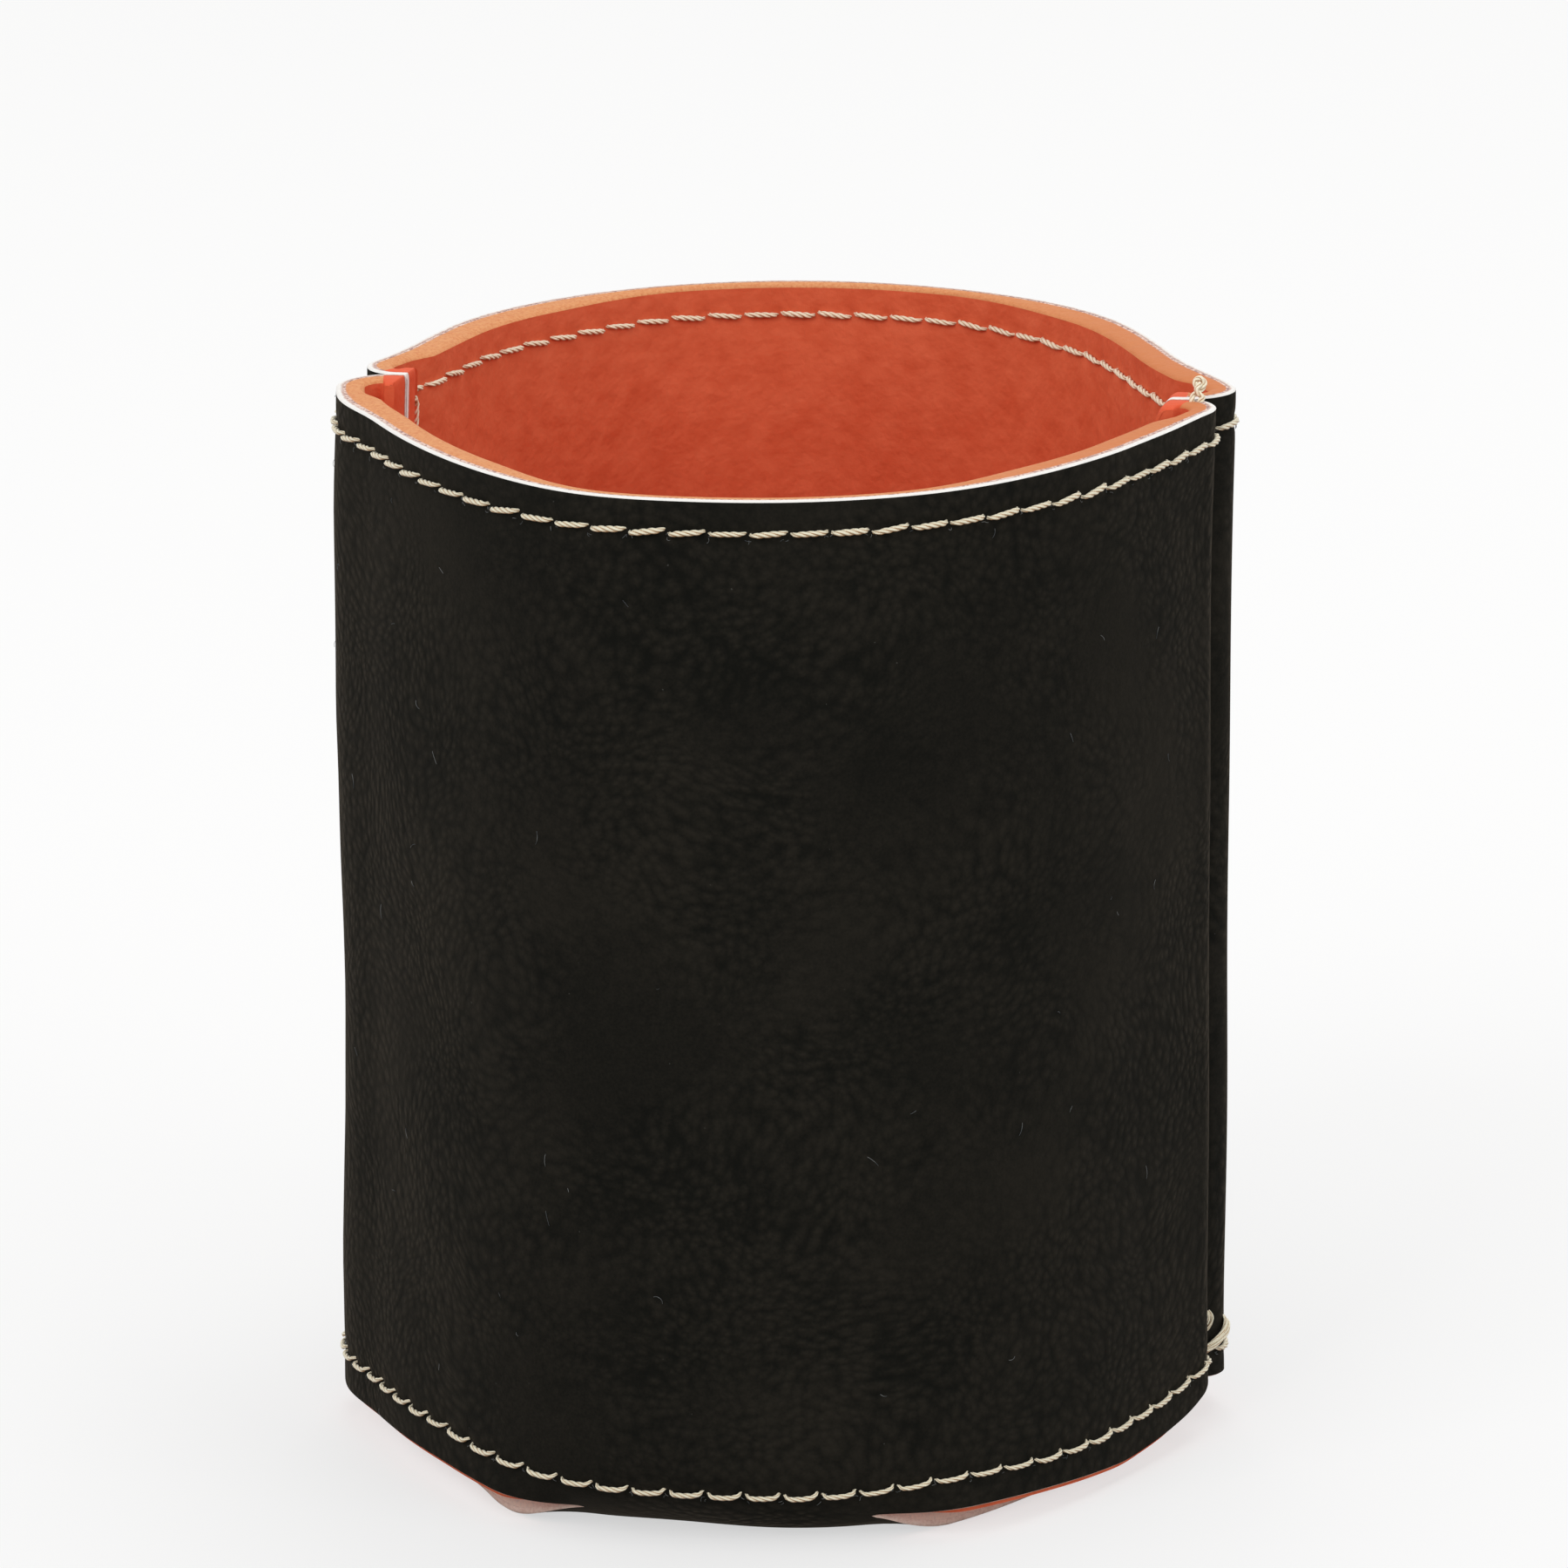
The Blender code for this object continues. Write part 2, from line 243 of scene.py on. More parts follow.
@dataclass
class Blank:
    """Sizes of the blank, and where its points lie once it is folded and sewn."""

    width: float
    depth: float
    height: float
    panel_bow: float = math.radians(70)
    laminate: float = 3.4 * MM
    crease_radius: float = 0.4 * MM
    seam_gap: float = 0.03 * MM
    turn_in: float = 2.9 * MM
    fold_inner_radius: float = 4.6 * MM
    fold_width: float = 28.6 * MM
    fold_shift: float = 0.7 * MM
    edge_rise: float = 2.5 * MM
    rim_clearance: float = 0.3 * MM
    side_inset: float = 1.9 * MM
    slit_taper: float = 6.5 * MM
    fold_relax: float = 9 * MM
    flap_corner: tuple[float, float] = (0.65 * MM, 1.8 * MM)
    flap_share: tuple[float, float] = (0.31, 0.59)
    foot_corner: float = 2.6 * MM
    spots: tuple[SoftSpot, ...] = SOFT_SPOTS
    leans: tuple[SideLean, ...] = SIDE_LEANS

    def __post_init__(self) -> None:
        """Works out the lengths that follow from the sizes."""
        sine, cosine = math.sin(self.panel_bow), math.cos(self.panel_bow)
        self.corner_radius = self.crease_radius + self.laminate
        self.fold_radius = self.fold_inner_radius + self.laminate
        self.corner_x = self.width / 2 - self.corner_radius
        self.corner_y = -(self.seam_gap / 2 + self.corner_radius)
        reach = sine * self.corner_x - cosine * self.corner_y + self.corner_radius - cosine * self.depth / 2
        self.bow_radius = reach / (1 - cosine)
        self.bow_y = self.bow_radius - self.depth / 2
        self.bow_length = self.bow_radius * self.panel_bow
        step = self.corner_radius - self.bow_radius
        flare_x = self.corner_x + step * sine
        self.flare_length = math.hypot(flare_x, self.corner_y - self.bow_y - step * cosine)
        self.wall_length = self.bow_length + self.flare_length
        self.corner_length = self.corner_radius * (math.pi - self.panel_bow)
        self.half_length = self.wall_length + self.corner_length + self.turn_in
        self.flat_radius = self.bow_radius - self.fold_radius
        self.rim_radius = self.bow_radius - self.laminate - self.rim_clearance
        self.wall_drop = self.fold_radius - self.edge_rise
        self.top_edge = self.fold_radius - self.height
        self.fold_length = self.fold_radius * math.pi / 2
        self.edges = {Panel.FRONT: FRONT_EDGE, Panel.BACK: BACK_EDGE}
        self.lifts = {Panel.FRONT: FRONT_ROW_LIFT, Panel.BACK: BACK_ROW_LIFT}

    @classmethod
    def from_frame(cls) -> "Blank":
        """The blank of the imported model's cover."""
        low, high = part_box("leatherette_cover")
        size = high - low
        return cls(width=size.x, depth=size.y, height=size.z)

    def by_side(self, along: Array, panel: Panel, values: tuple[float, float]) -> Array:
        """The left seam's value or the right seam's one, for places on either panel."""
        return np.where(along * panel.value < 0, *values)

    def plan(self, along: Array, panel: Panel) -> tuple[Array, Array, Array, Array]:
        """A panel's outer face from above, turned to the front.

        Args:
            along: Distances from the panel's middle, along the sheet.
            panel: The panel.

        Returns:
            X, Y and the outward direction's X and Y.
        """
        run = np.abs(along)
        side = np.where(along < 0, -1.0, 1.0)
        bow = np.minimum(run, self.bow_length) / self.bow_radius
        flare = np.clip(run - self.bow_length, 0, self.flare_length)
        arc = np.clip(run - self.wall_length, 0, self.corner_length)
        slide = np.maximum(run - self.wall_length - self.corner_length, 0)
        slide = slide * self.by_side(along, panel, self.flap_share)
        turn = bow + arc / self.corner_radius
        x = self.bow_radius * np.sin(bow) + flare * np.cos(bow)
        y = self.bow_y - self.bow_radius * np.cos(bow) + flare * np.sin(bow)
        x = x + self.corner_radius * (np.sin(turn) - np.sin(bow)) + slide * np.cos(turn)
        y = y - self.corner_radius * (np.cos(turn) - np.cos(bow)) + slide * np.sin(turn)
        return side * x, y, side * np.sin(turn), -np.cos(turn)

    def curl(self, along: Array) -> Array:
        """How strongly the sheet bends into the fold: 1 on the fold, 0 well away from it."""
        off_middle = np.abs(along - self.fold_shift)
        return 1 - smooth_step((off_middle - self.fold_width / 2) / self.fold_relax)

    def arc_run(self, length: Array, curl: Array) -> tuple[Array, Array, Array]:
        """Travel of a strip that bends into the fold.

        Args:
            length: Length of the strip.
            curl: How strongly it bends.

        Returns:
            Straight travel, sideways travel and the angle turned.
        """
        angle = length * curl / self.fold_radius
        straight = length * np.sinc(angle / np.pi)
        sideways = length * np.sin(angle / 2) * np.sinc(angle / 2 / np.pi)
        return straight, sideways, angle

    def wall(self, along: Array, down: Array, depth: Array, panel: Panel) -> Array:
        """Points of a panel.

        Args:
            along: Distances from the panel's middle.
            down: Distances below the level where the fold begins.
            depth: Depths under the outer face.
            panel: The panel.

        Returns:
            The points in rows.
        """
        along, down, depth = np.broadcast_arrays(along, down, depth)
        x, y, normal_x, normal_y = self.plan(along, panel)
        straight, inward, angle = self.arc_run(np.maximum(down, 0), self.curl(along))
        straight = straight + np.minimum(down, 0)
        inward = inward + depth * np.cos(angle)
        z = self.fold_radius - straight + depth * np.sin(angle)
        turn = panel.value
        points = np.stack([turn * (x - normal_x * inward), turn * (y - normal_y * inward), z], -1)
        return self.settle(points)

    def bottom(self, turn: Array, out: Array, depth: Array, panel: Panel) -> Array:
        """Points of the half of the bottom under a panel.

        Args:
            turn: Angles from the panel's middle.
            out: Distances outward from the flat ring.
            depth: Depths under the outer face.
            panel: The panel.

        Returns:
            The points in rows.
        """
        turn, out, depth = np.broadcast_arrays(turn, out, depth)
        outward = np.maximum(out, 0)
        straight, up, angle = self.arc_run(outward, self.curl(turn * self.bow_radius))
        radius = self.flat_radius + straight + np.minimum(out, 0) - depth * np.sin(angle)
        half = panel.value
        x = half * radius * np.sin(turn)
        y = half * (self.bow_y - radius * np.cos(turn))
        return self.settle(np.stack([x, y, up + depth * np.cos(angle)], -1))

    def rim_reach(self, turn: Array, panel: Panel) -> Array:
        """Length of the bottom from its flat ring to its cut edge.

        Args:
            turn: Angles from the panel's middle.
            panel: The panel.

        Returns:
            The lengths.
        """
        side_limit = (self.corner_x - self.side_inset) / np.maximum(np.abs(np.sin(turn)), 1e-6)
        rim = self.rim_radius + along_stations(turn * self.bow_radius, RIM_GAIN)
        flat_reach = np.minimum(rim, side_limit) - self.flat_radius
        from_middle = turn * self.bow_radius - self.fold_shift
        away = (np.abs(from_middle) - self.fold_width / 2) / self.slit_taper
        taper = np.sin(np.pi / 2 * np.clip(away, 0, 1))
        tip = self.fold_shift + np.clip(from_middle, -self.fold_width / 2, self.fold_width / 2)
        tip_reach = self.fold_length - self.wall_edge(tip, panel)
        return tip_reach + (flat_reach - tip_reach) * taper

    def wall_edge(self, along: Array, panel: Panel) -> Array:
        """Distance of the wall's lower edge below the level where the fold begins."""
        return self.fold_radius - along_stations(along, self.edges[panel])

    def corner_cut(self, along: Array, radius: Array | float) -> Array:
        """How far a rounded corner of a panel's end cuts in from its straight edge."""
        near = np.clip(np.abs(along) - (self.half_length - radius), 0, radius)
        return radius - np.sqrt(np.maximum(radius**2 - near**2, 0))

    def settle(self, points: Array) -> Array:
        """Moves points by the soft spots and the leaning sides."""
        settled = points.copy()
        for spot in self.spots:
            settled[..., :2] += spot.push(points)
        for lean in self.leans:
            settled[..., 0] += lean.push(points)
        return settled


@dataclass
class MeshParts:
    """Points and faces that are collected into one mesh."""

    points: list[Array] = field(default_factory=list)
    faces: list[tuple[int, ...]] = field(default_factory=list)
    marks: list[Array] = field(default_factory=list)
    count: int = 0

    def add(self, points: Array, faces: list, mark: Array | float = 0.0) -> None:
        """Adds points with faces between them.

        Args:
            points: Points in rows.
            faces: Each face's point numbers, counted from 0.
            mark: Value that these points carry.
        """
        self.points.append(points)
        self.faces += [tuple(int(i) + self.count for i in row) for row in faces]
        self.marks.append(np.broadcast_to(mark, len(points)))
        self.count += len(points)

    def tube(
        self, centres: Array, radii: Array, across: Array, up: Array, sides: int, mark: Array | float = 0.0
    ) -> None:
        """Adds a closed tube.

        Args:
            centres: Points along its middle.
            radii: Its radius at each of them.
            across: A unit vector across it at each of them.
            up: The other unit vector across it.
            sides: Number of sides.
            mark: Value that its points carry, ring by ring.
        """
        around = np.arange(sides)
        angles = 2 * np.pi * around[:, None] / sides
        ring = np.cos(angles) * across[:, None] + np.sin(angles) * up[:, None]
        points = (centres[:, None] + radii[:, None, None] * ring).reshape(-1, 3)
        rings = np.arange(len(centres) - 1)[:, None] * sides
        here = rings + around
        beside = rings + (around + 1) % sides
        quads = np.stack([here, beside, beside + sides, here + sides], -1).reshape(-1, 4)
        last = (len(centres) - 1) * sides
        caps = [tuple(reversed(range(sides))), tuple(range(last, last + sides))]
        self.add(points, [*quads, *caps], mark)

    def build(self, name: str, mark_name: str = "") -> Piece:
        """Makes the object.

        Args:
            name: Name of the object.
            mark_name: Name of the attribute that keeps the points' marks, if any.

        Returns:
            The object, linked to the scene.
        """
        mesh = bpy.data.meshes.new(name)
        mesh.from_pydata(np.vstack(self.points).tolist(), [], self.faces)
        if mark_name:
            add_mark(mesh, mark_name, "POINT", np.concatenate(self.marks))
        mesh.update()
        mesh.shade_smooth()
        return add_object(name, mesh)


def carried_frames(path: Array, start: Array) -> tuple[Array, Array]:
    """Two directions across a path that turn with it and never spin about it.

    Args:
        path: Points of the path.
        start: Rough direction of the first vector.

    Returns:
        The two unit vectors at each point.
    """
    tangents = unit(np.gradient(path, axis=0))
    across = np.empty_like(path)
    vector = start
    for i, tangent in enumerate(tangents):
        vector = vector - tangent * (vector @ tangent)
        vector = vector / max(np.linalg.norm(vector), 1e-12)
        across[i] = vector
    return across, np.cross(tangents, across)


@dataclass
class ThreadLay:
    """A twisted sewing thread: how thick it is and how its plies turn."""

    diameter: float = 0.70 * MM
    plies: int = 3
    twist_pitch: float = 2.3 * MM
    ply_share: float = 0.55
    sides: int = 8
    lying: float = 0.46

    def lift(self, u: Array, sink: float, ramp: float) -> Array:
        """Height of a stitch's middle line over the face, from hole to hole, sunk at both holes."""
        return -sink + (sink + self.lying * self.diameter) * smooth_step(np.minimum(u, 1 - u) / ramp)

    def lay(self, parts: MeshParts, path: Array, shares: Array, start: Array, phase: float) -> None:
        """Adds the plies along a path.

        Args:
            parts: Mesh that they go to.
            path: Points along the thread's middle.
            shares: Share of the full thickness at each point.
            start: Rough direction across the first point.
            phase: Angle that the twist starts at.
        """
        across, up = carried_frames(path, start)
        run = np.concatenate([[0], np.cumsum(np.linalg.norm(np.diff(path, axis=0), axis=1))])
        radius = self.diameter / 2 * self.ply_share * shares
        offset = self.diameter / 2 * (1 - self.ply_share) * shares
        for ply in range(self.plies):
            angle = phase + 2 * np.pi * (run / self.twist_pitch + ply / self.plies)
            swing = np.cos(angle)[:, None] * across + np.sin(angle)[:, None] * up
            ring = 2 * np.pi * np.arange(self.sides) / self.sides
            # groove is 0 on a ply's outward side and 1 on the side facing the thread's middle; the thread's
            # material paints shade between the plies by it.
            groove = (1 - np.cos(ring[None] - angle[:, None])) / 2
            parts.tube(path + offset[:, None] * swing, radius, across, up, self.sides, groove.ravel())


class Wiring:
    """Nodes and links of a world or a material under construction."""

    def __init__(self, tree: bpy.types.NodeTree) -> None:
        """Keeps the tree's nodes and links."""
        self.nodes, self.links = tree.nodes, tree.links

    def node(self, kind: str, values: Inputs, **settings: str) -> bpy.types.Node:
        """A node with its inputs linked or set.

        Args:
            kind: Its type, without the word ShaderNode in front.
            values: For inputs by name or number, a socket to link or a value to set.
            settings: The node's own settings.

        Returns:
            The node.
        """
        node = self.nodes.new(f"ShaderNode{kind}")
        for name, setting in settings.items():
            setattr(node, name, setting)
        for name, value in values.items():
            if isinstance(value, Socket):
                self.links.new(value, node.inputs[name])
            else:
                node.inputs[name].default_value = value
        return node

    def math(self, kind: str, first: Socket, second: Socket | float) -> Socket:
        """The result of an operation on a value and another value or a number."""
        return self.node("Math", {0: first, 1: second}, operation=kind).outputs[0]

    def seen_directly(self) -> Socket:
        """Share that is 1 for what the camera sees, also in a mirror or through glass."""
        rays = self.node("LightPath", {}).outputs
        mirrored = self.math("MAXIMUM", rays["Is Camera Ray"], rays["Is Glossy Ray"])
        return self.math("MAXIMUM", mirrored, rays["Is Transmission Ray"])


class MaterialBuilder(Wiring):
    """A node material under construction."""

    def __init__(self, name: str) -> None:
        """Makes the material with its shader."""
        self.material = bpy.data.materials.new(name)
        self.material.use_nodes = True
        super().__init__(self.material.node_tree)
        self.shader = self.nodes["Principled BSDF"]
        self.place = self.node("TexCoord", {}).outputs["Object"]

    def set(self, **values: float | tuple) -> None:
        """Sets shader sockets; an underscore in a name stands for a space."""
        for name, value in values.items():
            self.shader.inputs[name.replace("_", " ")].default_value = value

    def noise(self, size: float, detail: float = 3.0, roughness: float = 0.5) -> Socket:
        """A noise pattern.

        Args:
            size: Size of its spots in metres.
            detail: Number of finer layers.
            roughness: Strength of the finer layers.

        Returns:
            Its value, from 0 to 1.
        """
        values = {"Scale": 1 / size, "Detail": detail, "Roughness": roughness, "Vector": self.place}
        return self.node("TexNoise", values).outputs["Fac"]

    def bent_place(self, size: float, amount: float, stretch: Point) -> Socket:
        """Coordinates bent by slow noise and stretched, for grain that flows.

        Args:
            size: Size of the bends in metres.
            amount: How far they reach in metres.
            stretch: Scale along each axis.

        Returns:
            The coordinates.
        """
        bend = self.node("TexNoise", {"Scale": 1 / size, "Detail": 1.0, "Vector": self.place})
        middle = {0: bend.outputs["Color"], 1: (0.5, 0.5, 0.5)}
        centred = self.node("VectorMath", middle, operation="SUBTRACT")
        scaled = self.node("VectorMath", {0: centred.outputs[0], "Scale": amount}, operation="SCALE")
        moved = self.node("VectorMath", {0: self.place, 1: scaled.outputs[0]}, operation="ADD")
        return self.node("Mapping", {"Scale": stretch, "Vector": moved.outputs[0]}).outputs["Vector"]

    def cells(self, size: float, smoothness: float, place: Socket) -> Socket:
        """Distance from each pebble's middle, for pebbles of a size with soft edges."""
        values = {"Scale": 1 / size, "Smoothness": smoothness, "Vector": place}
        return self.node("TexVoronoi", values, feature="SMOOTH_F1").outputs["Distance"]

    def band(self, value: Socket, low: float, high: float) -> Socket:
        """Stretches and clamps a value so that low becomes 0 and high becomes 1."""
        values = {"Value": value, "From Min": low, "From Max": high}
        return self.node("MapRange", values, interpolation_type="SMOOTHSTEP").outputs["Result"]

    def mix(self, share: Socket, first: Socket | Colour, second: Socket | Colour) -> Socket:
        """Mixes two colours; the share is the second one's."""
        colours = [(*colour, 1.0) if isinstance(colour, tuple) else colour for colour in (first, second)]
        values = {"Factor": share, 6: colours[0], 7: colours[1]}
        return self.node("Mix", values, data_type="RGBA").outputs[2]

    def mark(self, name: str) -> Socket:
        """A value stored on the mesh."""
        return self.node("Attribute", {}, attribute_name=name).outputs["Fac"]

    def axis(self, name: str, vectors: Socket | None = None) -> Socket:
        """One coordinate of the object's own places, or of other vectors."""
        return self.node("SeparateXYZ", {0: vectors or self.place}).outputs[name]

    def bump(self, height: Socket, distance: float, before: Socket | None = None) -> Socket:
        """Relief from a height pattern.

        Args:
            height: The pattern.
            distance: Height of the relief in metres.
            before: Coarser relief under it, if any.

        Returns:
            The bumped normal.
        """
        values = {"Distance": distance, "Height": height}
        if before is not None:
            values["Normal"] = before
        return self.node("Bump", values).outputs["Normal"]

    def done(self, colour: Socket, normal: Socket) -> Finish:
        """Puts the colour and the relief on the shader.

        Args:
            colour: The base colour.
            normal: The bumped normal.

        Returns:
            The finished material.
        """
        self.links.new(colour, self.shader.inputs["Base Color"])
        self.links.new(normal, self.shader.inputs["Normal"])
        return self.material


@dataclass(frozen=True)
class LeatheretteFinish:
    """Matt napped black leatherette with its pale backing at the cut edges."""

    dark: Colour = (0.0070, 0.0071, 0.0057)
    light: Colour = (0.0235, 0.0205, 0.0156)
    speck: Colour = (0.10, 0.10, 0.09)
    backing: Colour = (0.93, 0.91, 0.88)
    backing_warm_shade: Colour = (1.0, 0.78, 0.68)
    mottle: Colour = (0.62, 0.42, 0.36)
    mottle_warm_shade: Colour = (0.80, 0.55, 0.46)
    nap_tint: Colour = (1.0, 0.70, 0.42)
    grain_size: float = 0.28 * MM
    pebble_size: float = 0.95 * MM
    blotch_size: float = 15 * MM

    def material(self) -> Finish:
        """Builds the material."""
        build = MaterialBuilder("black_leatherette")
        build.set(Roughness=0.85, Specular_IOR_Level=0.06, Sheen_Weight=0.055, Sheen_Roughness=0.34)
        build.set(Sheen_Tint=(*self.nap_tint, 1.0))
        colour = build.mix(build.mark("cut"), self.face(build), self.edge(build))
        return build.done(colour, self.relief(build))

    def grain(self, build: MaterialBuilder) -> Socket:
        """Soft pebbles that flow in curves, strong in some areas and faint in others."""
        bent = build.bent_place(17 * MM, 9 * MM, (1.0, 1.0, 1.15))
        pebble = build.math("SUBTRACT", build.cells(self.pebble_size, 0.55, bent), 0.42)
        where = build.band(build.noise(20 * MM, 3), 0.27, 0.57)
        return build.math("MULTIPLY", pebble, where)

    def face(self, build: MaterialBuilder) -> Socket:
        """Colour of the napped face."""
        blotch = build.noise(self.blotch_size, 6, 0.62)
        fine = build.noise(self.grain_size, 3, 0.6)
        shade = build.math("ADD", build.math("MULTIPLY", blotch, 0.60), build.math("MULTIPLY", fine, 0.40))
        shade = build.math("SUBTRACT", shade, build.math("MULTIPLY", self.grain(build), 0.47))
        face = build.mix(build.band(shade, 0.22, 0.80), self.dark, self.light)
        lint = build.band(build.noise(0.45 * MM, 1, 0.5), 0.82, 0.86)
        return build.mix(build.math("MULTIPLY", lint, 0.5), face, self.speck)

    def edge(self, build: MaterialBuilder) -> Socket:
        """Colour of the cut edges: white at the top rim; at the foot mottled and pinkish, a painted warm
        shade tint on the white backing.
        """
        mottle = build.noise(0.40 * MM, 4, 0.7)
        inner = build.math("ADD", build.mark("depth"), build.math("MULTIPLY", mottle, 0.9))
        top = build.mix(build.band(inner, 0.95, 1.45), self.backing, self.mottle)
        low = build.mix(build.band(mottle, 0.35, 0.75), self.backing_warm_shade, self.mottle_warm_shade)
        # Painted warm shade: below the band of heights the edge takes the pinkish foot colours.
        return build.mix(build.band(build.axis("Z"), 20 * MM, 30 * MM), low, top)

    def relief(self, build: MaterialBuilder) -> Socket:
        """Relief of the pebbles and the nap."""
        normal = build.bump(self.grain(build), -0.16 * MM)
        return build.bump(build.noise(self.grain_size, 3, 0.6), 0.03 * MM, normal)


@dataclass(frozen=True)
class FoamFinish:
    """Orange closed-cell foam: smooth red-orange skin, paler tan top rim and red-orange foot, with painted
    shade that darkens the cut face towards the right and a painted warm shade tint on the pale rim under
    the bottom.
    """

    skin: Colour = (0.83, 0.175, 0.075)
    skin_dark: Colour = (0.74, 0.130, 0.050)
    cut: Colour = (0.76, 0.345, 0.145)
    cut_pores_and_shade: Colour = (0.65, 0.220, 0.080)
    low: Colour = (0.78, 0.095, 0.025)
    pale_rim_and_warm_shade: Colour = (1.0, 0.74, 0.62)
    bond: Colour = (0.84, 0.64, 0.56)
    bond_dark: Colour = (0.36, 0.20, 0.19)
    pore_size: float = 0.30 * MM

    def material(self) -> Finish:
        """Builds the material."""
        build = MaterialBuilder("orange_foam")
        build.set(Roughness=0.72, Specular_IOR_Level=0.25)
        cloud = build.band(build.noise(3 * MM, 3, 0.6), 0.25, 0.75)
        pores = build.noise(self.pore_size, 3, 0.65)
        skin = build.mix(cloud, self.skin, self.skin_dark)
        cut = build.mix(build.band(pores, 0.35, 0.75), self.cut, self.cut_pores_and_shade)
        # Painted shade: towards the right side the cut face turns to the darker colour.
        cut = build.mix(build.band(build.axis("X"), 0.0, 34 * MM), cut, self.cut_pores_and_shade)
        mark = build.mark("cut")
        # Under the bottom the rim takes a pinkish white: a pale cut with a painted warm shade tint.
        pale_rim_and_warm_shade = build.mix(build.band(pores, 0.40, 0.75), self.pale_rim_and_warm_shade, self.bond)
        rim = build.mix(build.band(mark, 0.3, 0.5), self.low, pale_rim_and_warm_shade)
        rim = build.mix(build.band(mark, 0.7, 0.9), rim, self.bonded(build, cut))
        colour = build.mix(build.band(mark, 0.0, 0.15), skin, rim)
        normal = build.bump(build.noise(1.9 * MM, 2), 0.30 * MM)
        return build.done(colour, build.bump(pores, 0.045 * MM, normal))

    def bonded(self, build: MaterialBuilder, cut: Socket) -> Socket:
        """The top rim's colour with the pale mottled bond and its broken dark line along the cover.

        Args:
            build: The material under construction.
            cut: Colour of the foam's cut face.

        Returns:
            The rim's colour.
        """
        mottle = build.math("MULTIPLY", build.noise(0.45 * MM, 3, 0.7), 0.10)
        depth = build.math("ADD", build.mark("depth"), mottle)
        bond = build.mix(build.band(build.noise(0.35 * MM, 2, 0.6), 0.45, 0.60), self.bond, self.bond_dark)
        return build.mix(build.band(depth, 0.14, 0.21), bond, cut)


@dataclass(frozen=True)
class ThreadFinish:
    """Twisted cream polyester thread, with painted shade between its plies and on its underside."""

    bright: Colour = (1.0, 0.93, 0.71)
    shade: Colour = (0.50, 0.25, 0.08)
    fibre_size: float = 0.14 * MM

    def material(self) -> Finish:
        """Builds the material."""
        build = MaterialBuilder("cream_thread")
        build.set(Roughness=0.34, Specular_IOR_Level=0.7, Sheen_Weight=0.30, Sheen_Roughness=0.4)
        fibres = build.noise(self.fibre_size, 3, 0.7)
        # Painted shade: the groove mark moves the colour towards the shade colour between the plies; the
        # fibre noise adds real tone.
        depth = build.math("ADD", build.mark("groove"), build.math("MULTIPLY", fibres, 0.5))
        # Painted shade: the side of the thread that faces down is darkened towards the shade colour.
        facing = build.axis("Z", build.node("TexCoord", {}).outputs["Normal"])
        under = build.band(facing, 0.05, -0.75)
        depth = build.math("ADD", depth, build.math("MULTIPLY", under, 0.75))
        colour = build.mix(build.band(depth, 0.42, 1.10), self.bright, self.shade)
        return build.done(colour, build.bump(fibres, 0.04 * MM))


@dataclass(frozen=True)
class LintFinish:
    """Pale short fibres."""

    pale: Colour = (0.26, 0.27, 0.27)
    grey: Colour = (0.10, 0.11, 0.12)

    def material(self) -> Finish:
        """Builds the material."""
        build = MaterialBuilder("pale_lint")
        build.set(Roughness=0.8, Specular_IOR_Level=0.2)
        spots = build.noise(1.0 * MM, 2)
        colour = build.mix(build.band(spots, 0.4, 0.6), self.pale, self.grey)
        return build.done(colour, build.bump(spots, 0.01 * MM))


def dress(piece: Piece, material: Finish, slot: Slot, *nodes: str) -> None:
    """Gives a piece its finish, its body and the nodes that it stands for.

    Args:
        piece: The piece.
        material: Its material.
        slot: Not used.
        nodes: Nodes that it replaces.
    """
    piece.data.materials.append(material)
    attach(piece, BODY)
    if nodes:
        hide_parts(*nodes)
    LOG.info("%s: %d faces", piece.name, len(piece.data.polygons))


@dataclass
class StitchPlan:
    """Where the stitches of one decorative row lie on the blank."""

    blank: Blank
    place: Place
    face: Face
    panel: Panel = Panel.FRONT
    inset: float = 2.9 * MM
    top_pitch: float = 3.55 * MM
    bottom_pitch: float = 3.46 * MM
    top_slide: float = -0.45 * MM
    bottom_slide: float = -0.85 * MM
    outer_gain: float = 0.055
    gain_start: float = 8 * MM
    end_turn: float = math.radians(26)
    inner_end: float = 3.0 * MM

    def down(self, along: Array) -> Array:
        """Distance of the row below the level where the fold begins, at distances along the panel."""
        if self.place is Place.TOP:
            return np.full(np.shape(along), self.blank.top_edge + self.inset)
        lift = along_stations(along, self.blank.lifts[self.panel])
        return self.blank.wall_drop - self.inset - lift

    @property
    def holes(self) -> Array:
        """Distances of the needle holes from the panel's middle."""
        blank = self.blank
        end = blank.wall_length + blank.corner_radius * (math.pi / 2 - blank.panel_bow + self.end_turn)
        if self.face is Face.INSIDE:
            end = blank.wall_length - self.inner_end
        is_top = self.place is Place.TOP
        pitch = self.top_pitch if is_top else self.bottom_pitch
        slide = self.top_slide if is_top else self.bottom_slide
        holes = [slide]
        for side in (1, -1):
            place = slide
            while abs(place) < end:
                outer = smooth_step(np.array((abs(place) - self.gain_start) / self.gain_start))
                place += side * pitch * (1 + self.outer_gain * float(outer))
                holes.append(place)
        return np.sort(holes)


